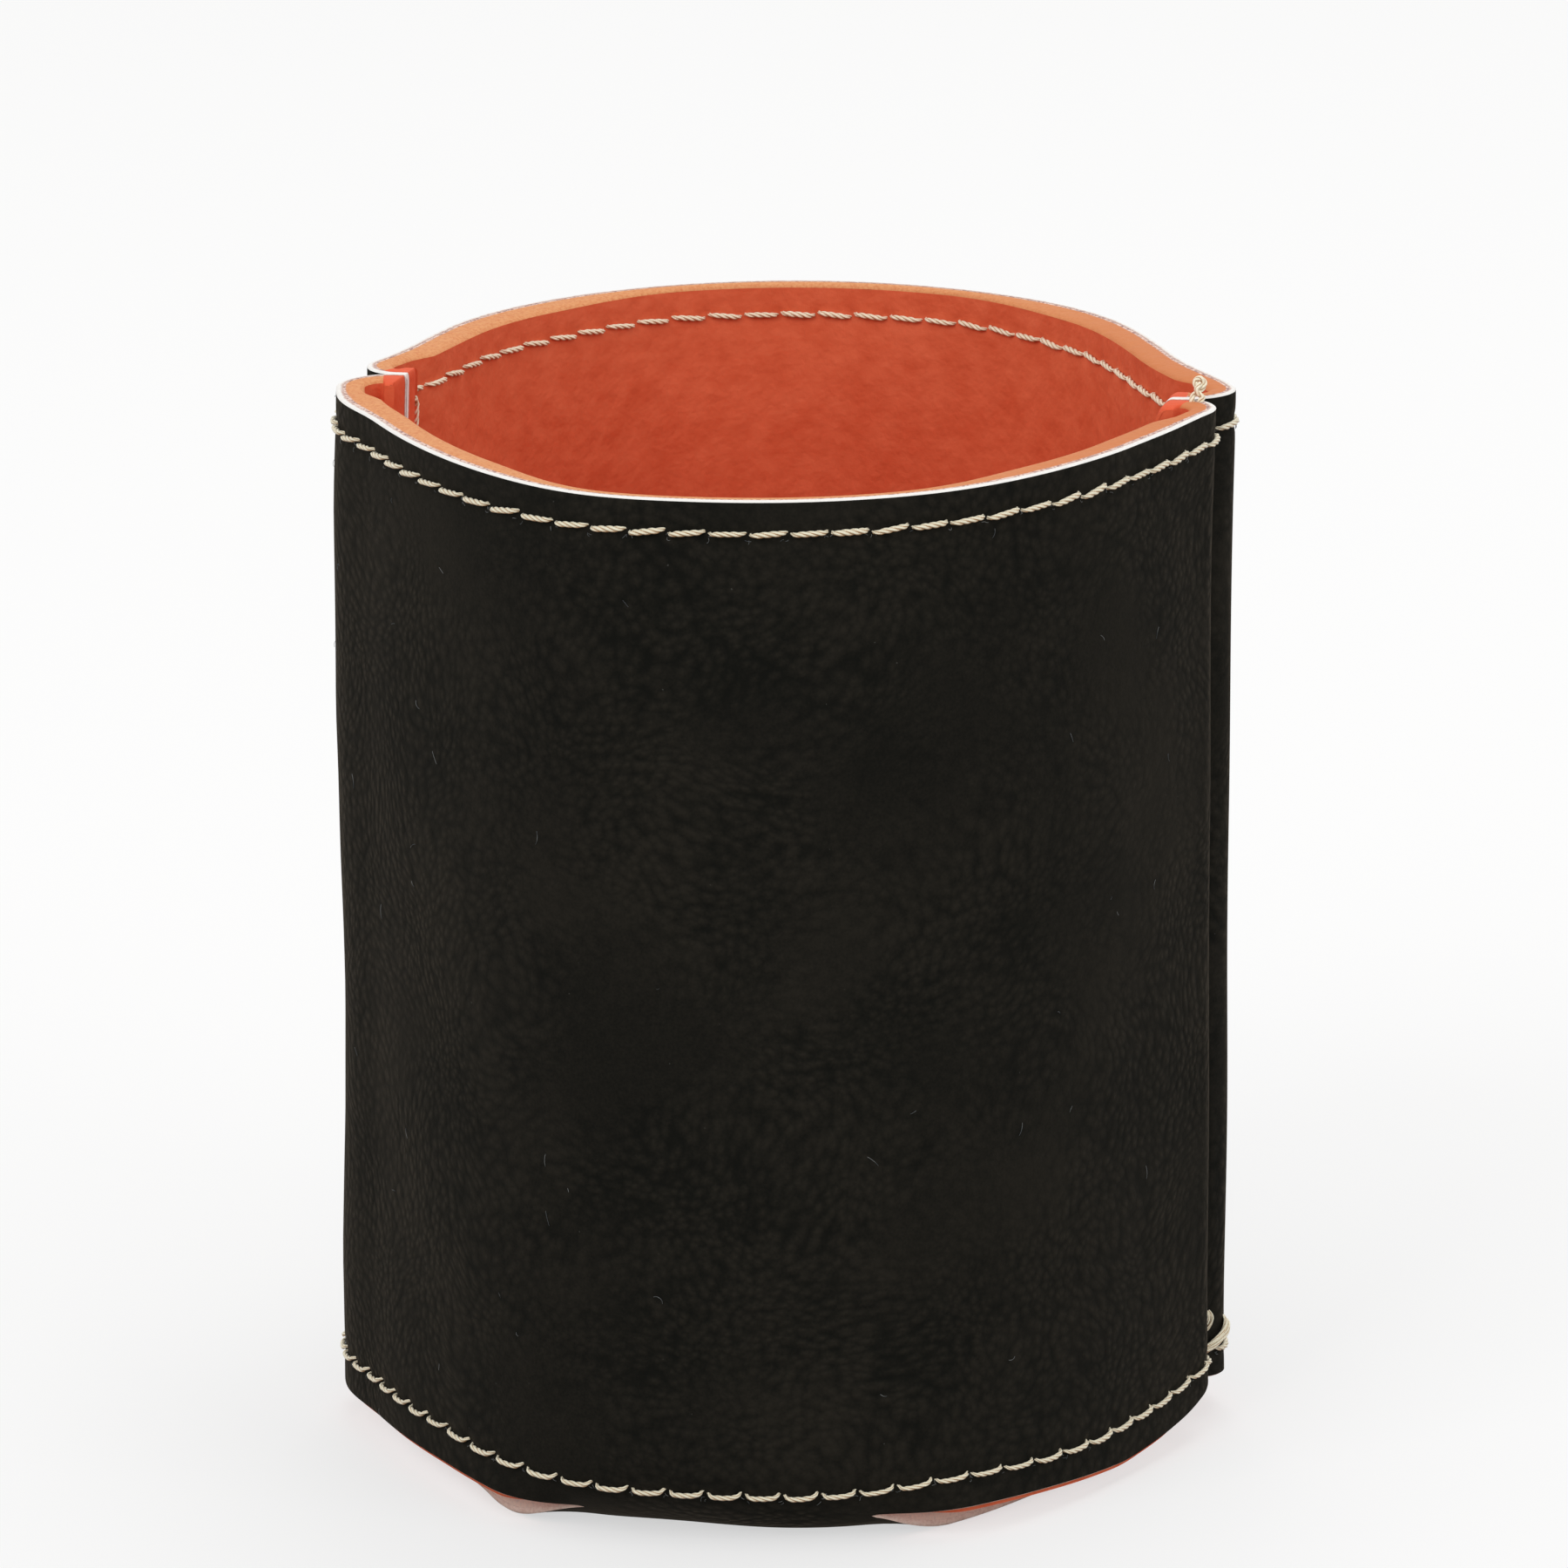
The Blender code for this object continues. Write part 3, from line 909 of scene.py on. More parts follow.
@dataclass
class Dimples:
    """How the rows of stitches draw the sheet in."""

    blank: Blank
    groove: float = 0.10 * MM
    hole: float = 0.22 * MM
    groove_width: float = 0.9 * MM
    hole_width: float = 0.55 * MM

    def at(self, along: Array, down: Array, face: Face) -> Array:
        """Depth that the sheet is drawn in by the rows.

        Args:
            along: Distances from the panel's middle.
            down: Distances below the level where the fold begins.
            face: Face of the laminate.

        Returns:
            The depths.
        """
        drawn = np.zeros(np.broadcast(along, down).shape)
        for place in Place:
            plan = StitchPlan(self.blank, place, face)
            holes = plan.holes
            off_row = down - plan.down(along)
            on_row = smooth_step((holes[-1] + self.groove_width - np.abs(along)) / self.groove_width)
            nearest = np.abs(np.asarray(along)[..., None] - holes).min(-1)
            drawn = drawn + self.groove * on_row * np.exp(-((off_row / self.groove_width) ** 2))
            close = (nearest**2 + off_row**2) / self.hole_width**2
            drawn = drawn + self.hole * np.exp(-close)
        return drawn


@dataclass
class Undulation:
    """Slow waves of the soft wall."""

    height: float = 0.16 * MM
    waves: tuple[Point, ...] = (
        (61.0, 37.0, 0.4), (-83.0, 112.0, 1.9), (147.0, 71.0, 3.1), (205.0, -188.0, 0.8)
    )

    def at(self, along: Array, down: Array) -> Array:
        """Depth of the waves, positive inwards, at distances along the panel and down from the fold."""
        total = sum(np.sin(a * along + b * down + c) for a, b, c in self.waves)
        return self.height * total / len(self.waves)


@dataclass
class Squeeze:
    """Where the foam has been pressed thin: at the panel's middle, the corners and the foot.

    Each rise and fall holds how far before its place it starts, and how long it is.
    """

    blank: Blank
    middle: float = 1.60 * MM
    centre: float = 3 * MM
    half_span: float = 13 * MM
    fade: float = 16 * MM
    foot: float = 1.9 * MM
    corner: float = 1.05 * MM
    middle_rise: tuple[float, float] = (4 * MM, 20 * MM)
    foot_rise: tuple[float, float] = (1 * MM, 4 * MM)
    corner_rise: tuple[float, float] = (5.5 * MM, 3.5 * MM)
    corner_fall: tuple[float, float] = (1.5 * MM, 1.2 * MM)

    def at(self, along: Array, down: Array) -> Array:
        """Thickness that the foam has lost.

        Args:
            along: Distances from the panel's middle.
            down: Distances below the level where the fold begins.

        Returns:
            The lost thickness.
        """
        pressed = 1 - smooth_step((np.abs(along - self.centre) - self.half_span) / self.fade)
        above = smooth_step((-down - self.middle_rise[0]) / self.middle_rise[1])
        foot = smooth_step((down + self.foot_rise[0]) / self.foot_rise[1]) * (1 - self.blank.curl(along))
        run = np.abs(along) - self.blank.wall_length
        corner = smooth_step((run + self.corner_rise[0]) / self.corner_rise[1])
        past = run - self.blank.corner_length + self.corner_fall[0]
        corner = corner * (1 - smooth_step(past / self.corner_fall[1]))
        foot = np.minimum(foot, 1 - corner)
        return self.middle * pressed * above + self.foot * foot + self.corner * corner


@dataclass
class SheetGrid:
    """The folded blank as one grid of points, without thickness.

    The step lies between columns of points, the rows are shares of the way down the wall, and the
    lower wall edge may stand out past the blank's, up to the fade before the corners.
    """

    blank: Blank
    step: float
    rows: Array
    wall_edge: float = 0.0
    edge_end: float = 52 * MM
    edge_fade: float = 8 * MM
    side_lines: int = 23
    rim_lines: int = 9
    inner_rings: tuple[float, ...] = (0.2, 0.45, 0.75)

    def __post_init__(self) -> None:
        """Lays out the points and faces."""
        self.kinds: list[tuple[Panel, bool, Array, Array]] = []
        self.faces: list[Array] = []
        self.count = 0
        self.columns = self.column_places(self.step)
        borders = [self.add_panel(panel) for panel in Panel]
        for left, right in ((borders[0][-1], borders[1][0]), (borders[1][-1], borders[0][0])):
            self.add_faces(np.stack([left, right]))
        self.middle = np.concatenate([border[:, -1] for border in borders])

    def column_places(self, step: float) -> Array:
        """Distances from the panel's middle, with one at each end of the fold.

        Args:
            step: Distance between columns.

        Returns:
            The distances, from end to end.
        """
        blank = self.blank
        steps = [step, step, step * 1.6, step * 0.75, step, step * 0.3]
        halves = []
        for shift in (-blank.fold_shift, blank.fold_shift):
            marks = [0.0, blank.fold_width / 2 + shift, blank.bow_length, blank.wall_length]
            marks += [blank.wall_length + blank.corner_length, blank.half_length - max(blank.flap_corner)]
            marks.append(blank.half_length)
            runs = zip(marks, marks[1:], steps)
            half = [np.linspace(a, b, max(1, round((b - a) / s)) + 1)[1:] for a, b, s in runs]
            halves.append(np.concatenate(half))
        return np.concatenate([-halves[0][::-1], [0.0], halves[1]])

    def keep(self, panel: Panel, is_wall: bool, first: Array, second: Array) -> Array:
        """Keeps points by their place on the blank.

        Args:
            panel: Their panel.
            is_wall: Whether they lie on the wall or on the bottom.
            first: Distance along the wall, or the angle on the bottom.
            second: Distance down the wall, or out on the bottom.

        Returns:
            Their numbers.
        """
        first, second = np.broadcast_arrays(first, second)
        self.kinds.append((panel, is_wall, first.ravel(), second.ravel()))
        numbers = self.count + np.arange(first.size).reshape(first.shape)
        self.count += first.size
        return numbers

    def add_faces(self, lines: Array) -> None:
        """Adds the faces between lines of points that lie side by side."""
        quads = np.stack([lines[:-1, :-1], lines[:-1, 1:], lines[1:, 1:], lines[1:, :-1]], -1)
        self.faces.append(quads.reshape(-1, 4))

    def add_panel(self, panel: Panel) -> Array:
        """Adds one panel and its half of the bottom.

        Args:
            panel: The panel.

        Returns:
            The bottom's lines of points, from its cut edge inwards.
        """
        blank = self.blank
        along = self.columns[:, None]
        corner = blank.by_side(along, panel, blank.flap_corner)
        top = blank.top_edge + blank.corner_cut(along, corner)
        near = 1 - smooth_step((np.abs(along) - self.edge_end) / self.edge_fade)
        edge = blank.wall_edge(along, panel) + self.wall_edge * (1 - blank.curl(along)) * near
        foot = edge - blank.corner_cut(along, blank.foot_corner)
        wall = self.keep(panel, True, along, top + (foot - top) * self.rows[None])
        self.add_faces(wall)
        bow = np.abs(self.columns) <= blank.bow_length + 1e-9
        turns = self.columns[bow] / blank.bow_radius
        side = np.linspace(blank.panel_bow, np.pi / 2, self.side_lines + 1)[1:]
        on_wall = np.pad(wall[bow, -1], self.side_lines)
        turns = np.concatenate([-side[::-1], turns, side])
        out = blank.rim_reach(turns, panel)[:, None] * (1 - np.linspace(0, 1, self.rim_lines))
        inner = np.tile(-blank.flat_radius * np.array(self.inner_rings), (len(turns), 1))
        border = self.keep(panel, False, turns[:, None], np.concatenate([out, inner], 1))
        off_fold = np.abs(turns * blank.bow_radius - blank.fold_shift) - blank.fold_width / 2
        on_fold = off_fold <= 1e-9
        border[on_fold, 0] = on_wall[on_fold]
        self.add_faces(border)
        return border

    def positions(self, depth: float, draw: Draw) -> Array:
        """Positions of all points at a depth.

        Args:
            depth: Depth under the outer face.
            draw: Gives the added depth of wall points from along and down.

        Returns:
            The points in rows.
        """
        rows = []
        for panel, is_wall, first, second in self.kinds:
            if is_wall:
                rows.append(self.blank.wall(first, second, depth + draw(first, second), panel))
            else:
                rows.append(self.blank.bottom(first, second, np.full(first.shape, depth), panel))
        return np.vstack(rows)

    def edges(self) -> tuple[Array, Array]:
        """The outer boundary.

        Returns:
            The boundary's directed edges, and all faces.
        """
        quads = np.vstack(self.faces)
        starts = quads.ravel()
        ends = np.roll(quads, -1, axis=1).ravel()
        size = self.count
        forward = starts * size + ends
        backward = ends * size + starts
        lone = ~np.isin(forward, backward)
        edges = np.stack([starts[lone], ends[lone]], 1)
        inner = np.isin(edges, self.middle).all(1)
        return edges[~inner], quads


@dataclass
class LayerShape:
    """How a layer's section looks: its depths and the round of its cut edge."""

    name: str
    outer_depth: float
    inner_depth: float
    rim: Stations
    low_cut: float = 1.0
    flap_cut: float = 0.32
    base_cut: float = 0.6
    flap_margin: tuple[float, float] = (0.8 * MM, 0.6 * MM)
    sharp_angle: float = math.radians(50)


@dataclass
class Layer:
    """One closed layer of the folded blank."""

    grid: SheetGrid
    shape: LayerShape

    def build(self, draw_outer: Draw, draw_inner: Draw) -> Piece:
        """Builds the closed mesh.

        Args:
            draw_outer: Added depth of the outer face.
            draw_inner: Added depth of the inner face.

        Returns:
            The piece.
        """
        grid, shape = self.grid, self.shape
        outer = grid.positions(shape.outer_depth, draw_outer)
        inner = grid.positions(shape.inner_depth, draw_inner)
        edges, quads = grid.edges()
        loop, slots = np.unique(edges, return_inverse=True)
        slots = slots.reshape(edges.shape)
        after = np.zeros(len(loop), int)
        before = np.zeros(len(loop), int)
        after[slots[:, 0]] = slots[:, 1]
        before[slots[:, 1]] = slots[:, 0]
        o, i = outer[loop], inner[loop]
        along = unit(o[after] - o[before])
        inward = unit(i - o)
        out = unit(np.cross(inward, along))
        total = grid.count
        points = [outer, inner]
        depths = [np.zeros(total), np.ones(total)]
        first_share, first_out = shape.rim[0]
        outer[loop] = o + first_out * out + (i - o) * first_share
        last_share, last_out = shape.rim[-1]
        inner[loop] = o + last_out * out + (i - o) * last_share
        rows = [loop]
        for row, (share, outset) in enumerate(shape.rim[1:-1]):
            points.append(o + outset * out + (i - o) * share)
            depths.append(np.full(len(loop), share))
            rows.append(2 * total + row * len(loop) + np.arange(len(loop)))
        rows.append(loop + total)
        faces = [quads, quads[:, ::-1] + total]
        for near, far in zip(rows, rows[1:]):
            a, b = near[slots[:, 0]], near[slots[:, 1]]
            c, d = far[slots[:, 1]], far[slots[:, 0]]
            faces.append(np.stack([b, a, d, c], 1))
        rim_cut = self.cut_share(o[slots[:, 0]], loop[slots[:, 0]])
        cut = [np.zeros(2 * len(quads)), np.tile(rim_cut, len(rows) - 1), np.zeros(2)]
        middle = grid.middle.tolist()
        every = [tuple(row) for row in np.vstack(faces).tolist()]
        every += [tuple(middle), tuple(n + total for n in reversed(middle))]
        return self.to_object(np.vstack(points), every, np.concatenate(depths), np.concatenate(cut))

    def cut_share(self, points: Array, numbers: Array) -> Array:
        """Which colour the cut edge takes: 1 on the top rim, less under the bottom, least at foot and
        flaps.

        Args:
            points: Points of the cut edge.
            numbers: Their numbers in the grid.

        Returns:
            The share at each point.
        """
        blank = self.grid.blank
        on_wall = np.concatenate([np.full(first.size, is_wall) for _, is_wall, first, _ in self.grid.kinds])
        is_top = points[:, 2] > blank.height / 2
        reach_x, reach_y = self.shape.flap_margin
        beside = np.abs(points[:, 0]) < blank.corner_x + reach_x
        is_flap = beside & (np.abs(points[:, 1]) < blank.laminate + reach_y)
        share = np.where(is_top, 1.0, self.shape.low_cut)
        share = np.where(is_top & is_flap, max(self.shape.low_cut, self.shape.flap_cut), share)
        return np.where(on_wall[numbers], share, max(self.shape.low_cut, self.shape.base_cut))

    def to_object(self, points: Array, faces: list[tuple[int, ...]], depths: Array, cut: Array) -> Piece:
        """Makes the object with its marks.

        Args:
            points: Points in rows.
            faces: Point numbers of each face.
            depths: Share of the layer's thickness at each point.
            cut: 1 for each face on a cut edge.

        Returns:
            The piece.
        """
        mesh = bpy.data.meshes.new(self.shape.name)
        mesh.from_pydata(points.tolist(), [], faces)
        add_mark(mesh, "depth", "POINT", depths)
        add_mark(mesh, "cut", "FACE", cut)
        mesh.update()
        mesh.shade_smooth()
        mesh.set_sharp_from_angle(angle=self.shape.sharp_angle)
        return add_object(self.shape.name, mesh)


def wall_rows(blank: Blank) -> Array:
    """Shares of the way down the wall, close together near both rows of stitches.

    Args:
        blank: The blank.

    Returns:
        The shares from 0 to 1.
    """
    length = blank.wall_drop - blank.top_edge
    near = np.array([0, 0.35, 0.8, 1.3, 1.8, 2.2, 2.55, 2.9, 3.25, 3.6, 4.1, 4.8, 6.0]) * MM
    middle = np.linspace(near[-1], length - near[-1], 34)[1:-1]
    return np.concatenate([near, middle, (length - near)[::-1]]) / length


@dataclass
class LeatheretteCover:
    """The black cover: one die-cut piece, folded at the bottom and turned in at the sides."""

    blank: Blank
    finish: LeatheretteFinish
    dimples: Dimples
    undulation: Undulation
    thickness: float = 0.60 * MM
    step: float = 0.45 * MM
    bevel: float = 0.13 * MM

    def build(self) -> Piece:
        """Builds and dresses the cover."""
        bevel = ((0.0, -self.bevel), (0.05, -0.80 * self.bevel), (0.20, -0.28 * self.bevel))
        rim = (*bevel, (0.42, 0.0), (0.75, 0.01 * MM), (1.0, -0.02 * MM))
        grid = SheetGrid(self.blank, self.step, wall_rows(self.blank))
        shape = LayerShape("leatherette_cover_skin", 0.0, self.thickness, rim)
        piece = Layer(grid, shape).build(self.draw, self.undulation.at)
        dress(piece, self.finish.material(), Slot.LEATHERETTE, "leatherette_cover")
        flat_length = 2 * (self.blank.height - self.blank.fold_radius + self.blank.fold_length)
        flat_length += 2 * (self.blank.flat_radius - self.blank.bow_y)
        return piece

    def draw(self, along: Array, down: Array) -> Array:
        """Depth of the outer face's grooves and waves."""
        return self.dimples.at(along, down, Face.OUTSIDE) + self.undulation.at(along, down)


@dataclass
class FoamLining:
    """The orange foam lining, bonded to the cover."""

    blank: Blank
    finish: FoamFinish
    dimples: Dimples
    undulation: Undulation
    squeeze: Squeeze
    start: float = 0.60 * MM
    step: float = 0.55 * MM
    edge_round: float = 0.40 * MM
    show: float = 0.50 * MM

    def build(self) -> Piece:
        """Builds and dresses the lining."""
        rounding = ((0.70, -0.10), (0.85, -0.35), (0.95, -0.65), (1.0, -1.0))
        rim = ((0.0, -0.03 * MM), (0.12, -0.02 * MM), (0.45, 0.0))
        rim += tuple((share, outset * self.edge_round) for share, outset in rounding)
        grid = SheetGrid(self.blank, self.step, wall_rows(self.blank), self.show)
        shape = LayerShape("foam_lining_body", self.start, self.blank.laminate, rim, 0.2)
        piece = Layer(grid, shape).build(self.undulation.at, self.draw)
        dress(piece, self.finish.material(), Slot.LINING, "foam_lining")
        return piece

    def draw(self, along: Array, down: Array) -> Array:
        """Depth of the inner face's grooves, waves and pressed places."""
        drawn = self.dimples.at(along, down, Face.INSIDE) + self.squeeze.at(along, down)
        return self.undulation.at(along, down) - drawn


@dataclass
class StitchRow:
    """One thread of a decorative row, stitch by stitch."""

    blank: Blank
    panel: Panel
    place: Place
    face: Face
    thread: ThreadLay
    dimples: Dimples
    undulation: Undulation
    squeeze: Squeeze
    gap: float = 0.16 * MM
    top_slant: float = 0.30 * MM
    bottom_sag: float = 0.37 * MM
    bottom_slant: float = 0.10 * MM
    sink: float = 0.42 * MM
    ramp: float = 0.14
    loose: float = 0.05 * MM
    end_share: float = 0.55
    end_gain: float = 0.45
    end_ramp: float = 0.32
    uneven: float = 0.05
    points: int = 20

    def build(self, material: Finish) -> Piece:
        """Builds and dresses the row.

        Args:
            material: The thread's material.

        Returns:
            The piece.
        """
        plan = StitchPlan(self.blank, self.place, self.face, self.panel)
        chance = np.random.default_rng(len(self.panel.name) * 7 + len(self.place.name))
        parts = MeshParts()
        for start, end in zip(plan.holes, plan.holes[1:]):
            path = self.stitch_path(plan, start, end, chance)
            u = np.linspace(0, 1, self.points)
            from_end = np.minimum(u + 0.03, 1.04 - u)
            shares = self.end_share + self.end_gain * smooth_step(from_end / self.end_ramp)
            shares = shares * (1 + self.uneven * chance.normal())
            middle = (start + end) / 2
            out = path[self.points // 2] - self.surface(plan.down(middle), middle, 1 * MM)
            self.thread.lay(parts, path, shares, unit(out), chance.uniform(0, 2 * np.pi))
        node = f"{self.panel.name.lower()}_{self.place.value}_{self.face.value}_thread"
        piece = parts.build(f"{node}_twist", "groove")
        dress(piece, material, Slot.THREAD, node)
        return piece

    def surface(self, down: Array, along: Array, under: Array | float) -> Array:
        """Points at a distance under the face that the thread lies on.

        Args:
            down: Distances below the level where the fold begins.
            along: Distances from the panel's middle.
            under: Distance into the laminate.

        Returns:
            The points.
        """
        along, down = np.broadcast_arrays(np.asarray(along, float), np.asarray(down, float))
        drawn = self.dimples.groove
        depth = self.undulation.at(along, down)
        if self.face is Face.OUTSIDE:
            depth = depth + drawn + under
        else:
            depth = depth + self.blank.laminate - self.squeeze.at(along, down) - drawn - under
        return self.blank.wall(along, down, depth, self.panel)

    def stitch_path(self, plan: StitchPlan, start: float, end: float, chance: Chance) -> Array:
        """The middle line of one stitch, from hole to hole.

        Args:
            plan: The row's plan.
            start: Distance of its first hole.
            end: Distance of its second hole.
            chance: Random numbers for small differences.

        Returns:
            The line's points.
        """
        u = np.linspace(0, 1, self.points)
        along = start + self.gap / 2 + (end - start - self.gap) * u
        if self.place is Place.TOP:
            across = self.top_slant * (0.5 - u) * (1 + 0.5 * chance.normal())
        else:
            sag = self.bottom_sag * (1 + 0.12 * chance.normal())
            across = sag * (0.5 - np.abs(2 * u - 0.9) ** 3) + self.bottom_slant * (0.5 - u)
        lift = self.thread.lift(u, self.sink, self.ramp)
        lift = lift + self.loose * np.sin(np.pi * u) * chance.uniform(0, 1)
        return self.surface(plan.down(along) + across, along, -lift)


# Paths of the right seam's knot, of the thick tack's strands and of the short strands above it, with the
# shifts from strand to strand, all in millimetres.
KNOT_PATH = (
    (0.30, -0.9, -0.9), (0.38, -0.8, 0.00), (0.55, -0.4, 0.55), (1.18, -0.1, 0.95), (1.40, 0.2, 1.45),
    (1.02, 0.3, 1.85), (0.55, 0.2, 1.62), (0.72, -0.1, 1.22), (1.02, -0.1, 1.42), (0.80, -0.5, 1.05),
    (0.95, -0.6, 0.70), (1.32, -0.6, 0.35), (1.12, -0.8, -0.05), (0.90, -0.8, -0.9),
)
TACK_PATH = (
    (66.8, 5.2, -0.5), (65.2, 5.6, 0.30), (63.4, 6.2, 0.50), (62.0, 6.9, 0.50), (61.0, 7.5, 0.30),
    (60.3, 7.8, -0.2), (59.9, 7.9, -0.8),
)
TACK_SHIFTS = ((0.0, 0.0, 0.0), (0.0, 0.30, 0.12), (0.0, 0.60, 0.12), (0.0, 0.90, 0.0), (0.0, 0.45, 0.30))
GROOVE_PATH = (
    (64.4, 7.2, -0.5), (63.8, 7.8, 0.20), (63.2, 8.5, 0.40), (62.9, 9.3, 0.35), (63.0, 10.0, -0.5),
)
GROOVE_SHIFTS = ((0.0, 0.0, 0.0), (0.36, 0.15, 0.0))


@dataclass
class SeamThreads:
    """The threads that close the two side seams."""

    blank: Blank
    thread: ThreadLay
    floss: ThreadLay
    first_height: float = 6.5 * MM
    pitch: float = 4.2 * MM
    inset: float = 2.7 * MM
    gap: float = 0.4 * MM
    sink: float = 0.4 * MM
    ramp: float = 0.16
    row_share: float = 0.80
    points: int = 12

    def build(self, material: Finish) -> list[Piece]:
        """Builds and dresses both seams.

        Args:
            material: The thread's material.

        Returns:
            The two pieces.
        """
        pieces = []
        for side, name in ((-1, "left_seam_thread"), (1, "right_seam_thread")):
            parts = MeshParts()
            self.add_inner_stitches(parts, side)
            if side > 0:
                self.add_knot(parts)
                self.add_foot_tack(parts)
            piece = parts.build(f"{name}_twist", "groove")
            dress(piece, material, Slot.THREAD, name)
            pieces.append(piece)
        return pieces

    def flap(self, side: int, share: float, height: float, depth: float, panel: Panel) -> Array:
        """A point of a turned-in edge.

        Args:
            side: -1 for the left seam, 1 for the right one.
            share: Share of the way from the corner to the inner end.
            height: Height above the base.
            depth: Depth under the outer face.
            panel: Panel of the edge.

        Returns:
            The point.
        """
        blank = self.blank
        along = (blank.half_length - blank.turn_in * (1 - share)) * side * panel.value
        return blank.wall(np.array(along), np.array(blank.fold_radius - height), np.array(depth), panel)

    def add_inner_stitches(self, parts: MeshParts, side: int) -> None:
        """Adds the stitches that run down the inner face of each turned-in edge.

        Args:
            parts: Mesh that they go to.
            side: -1 for the left seam, 1 for the right one.
        """
        chance = np.random.default_rng(17 + side)
        top = self.blank.height - self.inset
        count = round((top - self.first_height) / self.pitch)
        heights = np.linspace(self.first_height, top, count + 1)
        u = np.linspace(0, 1, self.points)
        lift = self.thread.lift(u, self.sink, self.ramp)
        for panel in Panel:
            for low, high in zip(heights, heights[1:]):
                levels = low + self.gap / 2 + (high - low - self.gap) * u
                lie = zip(levels, self.blank.laminate + lift)
                path = np.array([self.flap(side, self.row_share, z, depth, panel) for z, depth in lie])
                start = np.array([0.0, -panel.value, 0.0])
                self.thread.lay(parts, path, np.ones(len(u)), start, chance.uniform(0, 2 * np.pi))

    def add_knot(self, parts: MeshParts) -> None:
        """Adds the small knotted loop that stands on the right seam.

        Args:
            parts: Mesh that it goes to.
        """
        foot = self.flap(1, -0.25, self.blank.height, 0.2 * MM, Panel.FRONT)
        path = smooth_path(foot + np.array(KNOT_PATH) * MM, 7)
        self.thread.lay(parts, path, np.full(len(path), 0.92), np.array([0.0, 0.0, 1.0]), 0.0)

    def add_foot_tack(self, parts: MeshParts) -> None:
        """Adds the thick tack around the back panel's corner and the short strands in the groove above it.

        Args:
            parts: Mesh that they go to.
        """
        for strand, shift in enumerate(TACK_SHIFTS):
            self.lay_on_back(parts, TACK_PATH, shift, 1.1 * strand, 0.86)
        for strand, shift in enumerate(GROOVE_SHIFTS):
            self.lay_on_back(parts, GROOVE_PATH, shift, 0.7 * strand, 0.72)

    def lay_on_back(
        self, parts: MeshParts, stops: tuple[Point, ...], shift: Point, phase: float, share: float
    ) -> None:
        """Lays a thread over the back panel's corner at the right seam.

        Args:
            parts: Mesh that it goes to.
            stops: Distances from the panel's middle, heights and distances off the face, in millimetres.
            shift: Added distance, height, which grows along the thread, and distance off the face.
            phase: Angle that its twist starts at.
            share: Share of the thread's full thickness.
        """
        spread = np.ones((len(stops), 3))
        spread[:, 1] = np.linspace(0.35, 1.0, len(stops))
        along, height, off = (np.array(stops) * MM + np.array(shift) * spread * MM).T
        points = self.blank.wall(-along, self.blank.fold_radius - height, -off, Panel.BACK)
        path = smooth_path(points, 8)
        self.floss.lay(parts, path, np.full(len(path), share), np.array([1.0, 0.0, 0.0]), phase)


@dataclass
class Lint:
    """Short pale fibres: tufts at the needle holes and a few loose ones on the cover."""

    blank: Blank
    finish: LintFinish
    radius: float = 0.020 * MM
    fibre_points: int = 6
    tuft_spread: float = 0.22
    tuft_down: tuple[float, float] = (0.28, 0.55)
    tuft_length: tuple[float, float] = (0.3, 0.7)
    loose_length: tuple[float, float] = (0.4, 1.7)
    loose: int = 50
    seed: int = 5

    def build(self) -> Piece:
        """Builds and dresses the lint."""
        chance = np.random.default_rng(self.seed)
        parts = MeshParts()
        for panel in Panel:
            for place in Place:
                plan = StitchPlan(self.blank, place, Face.OUTSIDE, panel)
                for hole in plan.holes:
                    for _ in range(int(chance.integers(1, 4))):
                        along = hole + chance.normal(0, self.tuft_spread) * MM
                        down = float(plan.down(hole)) + chance.uniform(*self.tuft_down) * MM
                        length = chance.uniform(*self.tuft_length) * MM
                        self.add_fibre(parts, chance, along, down, panel, length)
            for _ in range(self.loose):
                along = chance.uniform(-1, 1) * self.blank.wall_length
                down = chance.uniform(self.blank.top_edge, self.blank.wall_drop)
                length = chance.uniform(*self.loose_length) * MM
                self.add_fibre(parts, chance, along, down, panel, length)
        piece = parts.build("lint_fibres")
        dress(piece, self.finish.material(), Slot.THREAD)
        return piece

    def add_fibre(
        self, parts: MeshParts, chance: Chance, along: float, down: float, panel: Panel, length: float
    ) -> None:
        """Adds one curved fibre that lies on the cover.

        Args:
            parts: Mesh that it goes to.
            chance: Random numbers.
            along: Distance of its start from the panel's middle.
            down: Distance of its start below the level where the fold begins.
            panel: The panel.
            length: Its length.
        """
        angle = chance.uniform(0, 2 * np.pi)
        bend = chance.normal(0, 1.3)
        count = self.fibre_points
        u = np.linspace(0, 1, count)
        heading = angle + bend * u
        s = along + np.cumsum(np.cos(heading)) * length / count
        d = np.minimum(down + np.cumsum(np.sin(heading)) * length / count, self.blank.wall_drop)
        lift = 0.03 * MM + 0.10 * MM * np.sin(np.pi * u) * chance.uniform(0, 1)
        path = self.blank.wall(s, np.maximum(d, self.blank.top_edge), -lift, panel)
        across, up = carried_frames(path, np.array([0.0, 0.0, 1.0]))
        parts.tube(path, np.full(count, self.radius), across, up, 4)


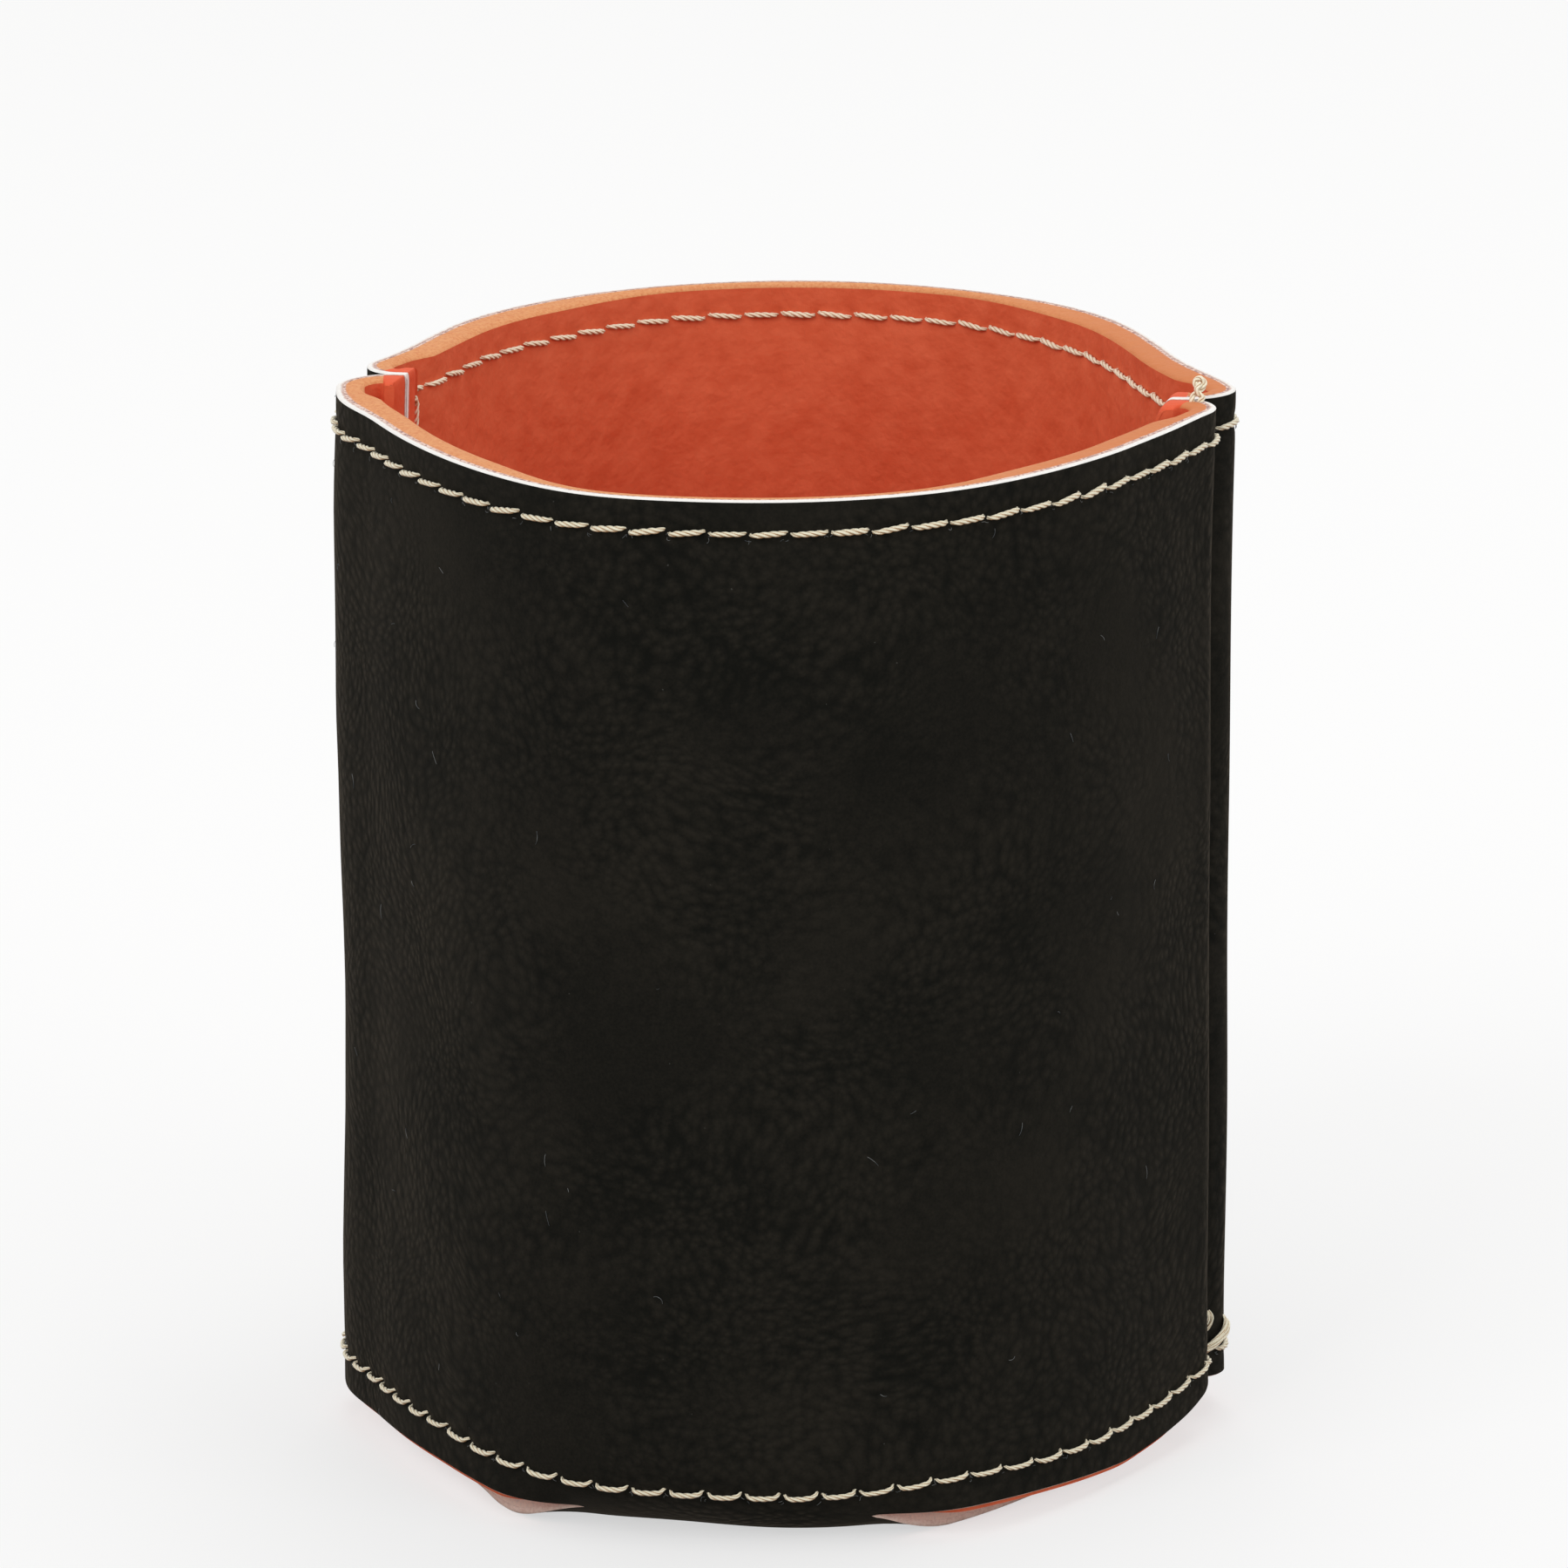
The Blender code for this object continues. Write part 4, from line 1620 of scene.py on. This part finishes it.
@dataclass
class Studio:
    """Camera, lamps, world and floor."""

    camera_place: Point = (0.1453, -0.9960, 0.3342)
    camera_turn: Point = (math.radians(74.68), 0.0, math.radians(8.3))
    lens: float = 265.8
    world_light: float = 0.62
    world_colour: Colour = (1.0, 0.995, 0.985)
    lamps: tuple[tuple[str, Point, float, float], ...] = (
        ("key_lamp", (-0.55, -0.95, 0.95), 0.7, 4.6),
        ("fill_lamp", (0.95, -0.55, 0.55), 0.6, 1.9),
        ("top_lamp", (0.1, 0.45, 1.1), 0.8, 3.8),
    )
    lit_point: Point = (0.0, 0.0, 0.05)
    floor_size: float = 6.0
    floor_colour: Colour = (0.38, 0.38, 0.38)
    floor_glow: float = 0.6

    def build(self) -> None:
        """Builds the studio."""
        scene = bpy.context.scene
        scene.view_settings.view_transform = "Standard"
        self.add_camera()
        self.add_world()
        self.add_floor()
        for lamp in self.lamps:
            self.add_lamp(*lamp)

    def add_camera(self) -> None:
        """Adds the camera at the photograph's viewing angle."""
        data = bpy.data.cameras.new("camera")
        data.lens = self.lens
        data.sensor_width = 36.0
        data.clip_start = 0.01
        camera = add_object("camera", data)
        camera.location = self.camera_place
        camera.rotation_euler = self.camera_turn
        bpy.context.scene.camera = camera

    def add_world(self) -> None:
        """Adds an even light that looks white to the camera."""
        world = bpy.data.worlds.new("studio")
        world.use_nodes = True
        bpy.context.scene.world = world
        wiring = Wiring(world.node_tree)
        background = wiring.nodes["Background"].inputs
        background["Color"].default_value = (*self.world_colour, 1.0)
        values = {"Value": wiring.seen_directly(), "To Min": self.world_light, "To Max": 1.0}
        wiring.links.new(wiring.node("MapRange", values).outputs["Result"], background["Strength"])

    def add_floor(self) -> None:
        """Adds the pale floor."""
        half = self.floor_size / 2
        mesh = bpy.data.meshes.new("floor")
        corners = [(-half, -half, 0.0), (half, -half, 0.0), (half, half, 0.0), (-half, half, 0.0)]
        mesh.from_pydata(corners, [], [(0, 1, 2, 3)])
        floor = add_object("floor", mesh)
        build = MaterialBuilder("pale_floor")
        build.set(Base_Color=(*self.floor_colour, 1.0), Roughness=0.9, Specular_IOR_Level=0.0)
        build.set(Emission_Color=(1.0, 1.0, 1.0, 1.0))
        glow = build.math("MULTIPLY", build.seen_directly(), self.floor_glow)
        build.links.new(glow, build.shader.inputs["Emission Strength"])
        mesh.materials.append(build.material)

    def add_lamp(self, name: str, place: Point, size: float, power: float) -> None:
        """Adds a soft square lamp that faces the sleeve.

        Args:
            name: Name of the lamp.
            place: Where it hangs.
            size: Its side.
            power: Its power in watts.
        """
        data = bpy.data.lights.new(name, "AREA")
        data.size = size
        data.energy = power
        lamp = add_object(name, data)
        lamp.location = place
        lamp.rotation_euler = (Vector(self.lit_point) - Vector(place)).to_track_quat("-Z", "Y").to_euler()


@dataclass
class BeverageHolder:
    """The whole sleeve."""

    blank: Blank

    def build(self) -> None:
        """Builds the layers, the threads and the lint."""
        dimples = Dimples(self.blank)
        undulation = Undulation()
        squeeze = Squeeze(self.blank)
        threads = {Place.TOP: ThreadLay(0.56 * MM), Place.BOTTOM: ThreadLay(0.49 * MM)}
        FoamLining(self.blank, FoamFinish(), dimples, undulation, squeeze).build()
        LeatheretteCover(self.blank, LeatheretteFinish(), dimples, undulation).build()
        cream = ThreadFinish().material()
        for panel in Panel:
            for place in Place:
                for face in Face:
                    lie = (threads[place], dimples, undulation, squeeze)
                    StitchRow(self.blank, panel, place, face, *lie).build(cream)
        floss = ThreadLay(0.46 * MM, twist_pitch=6.5 * MM)
        SeamThreads(self.blank, threads[Place.TOP], floss).build(cream)
        Lint(self.blank, LintFinish()).build()


def main() -> None:
    """Builds the studio and the sleeve in order."""
    logging.basicConfig(level=logging.INFO, format="%(name)s %(message)s")
    Studio().build()
    BeverageHolder(Blank.from_frame()).build()


if __name__ == "__main__":
    main()
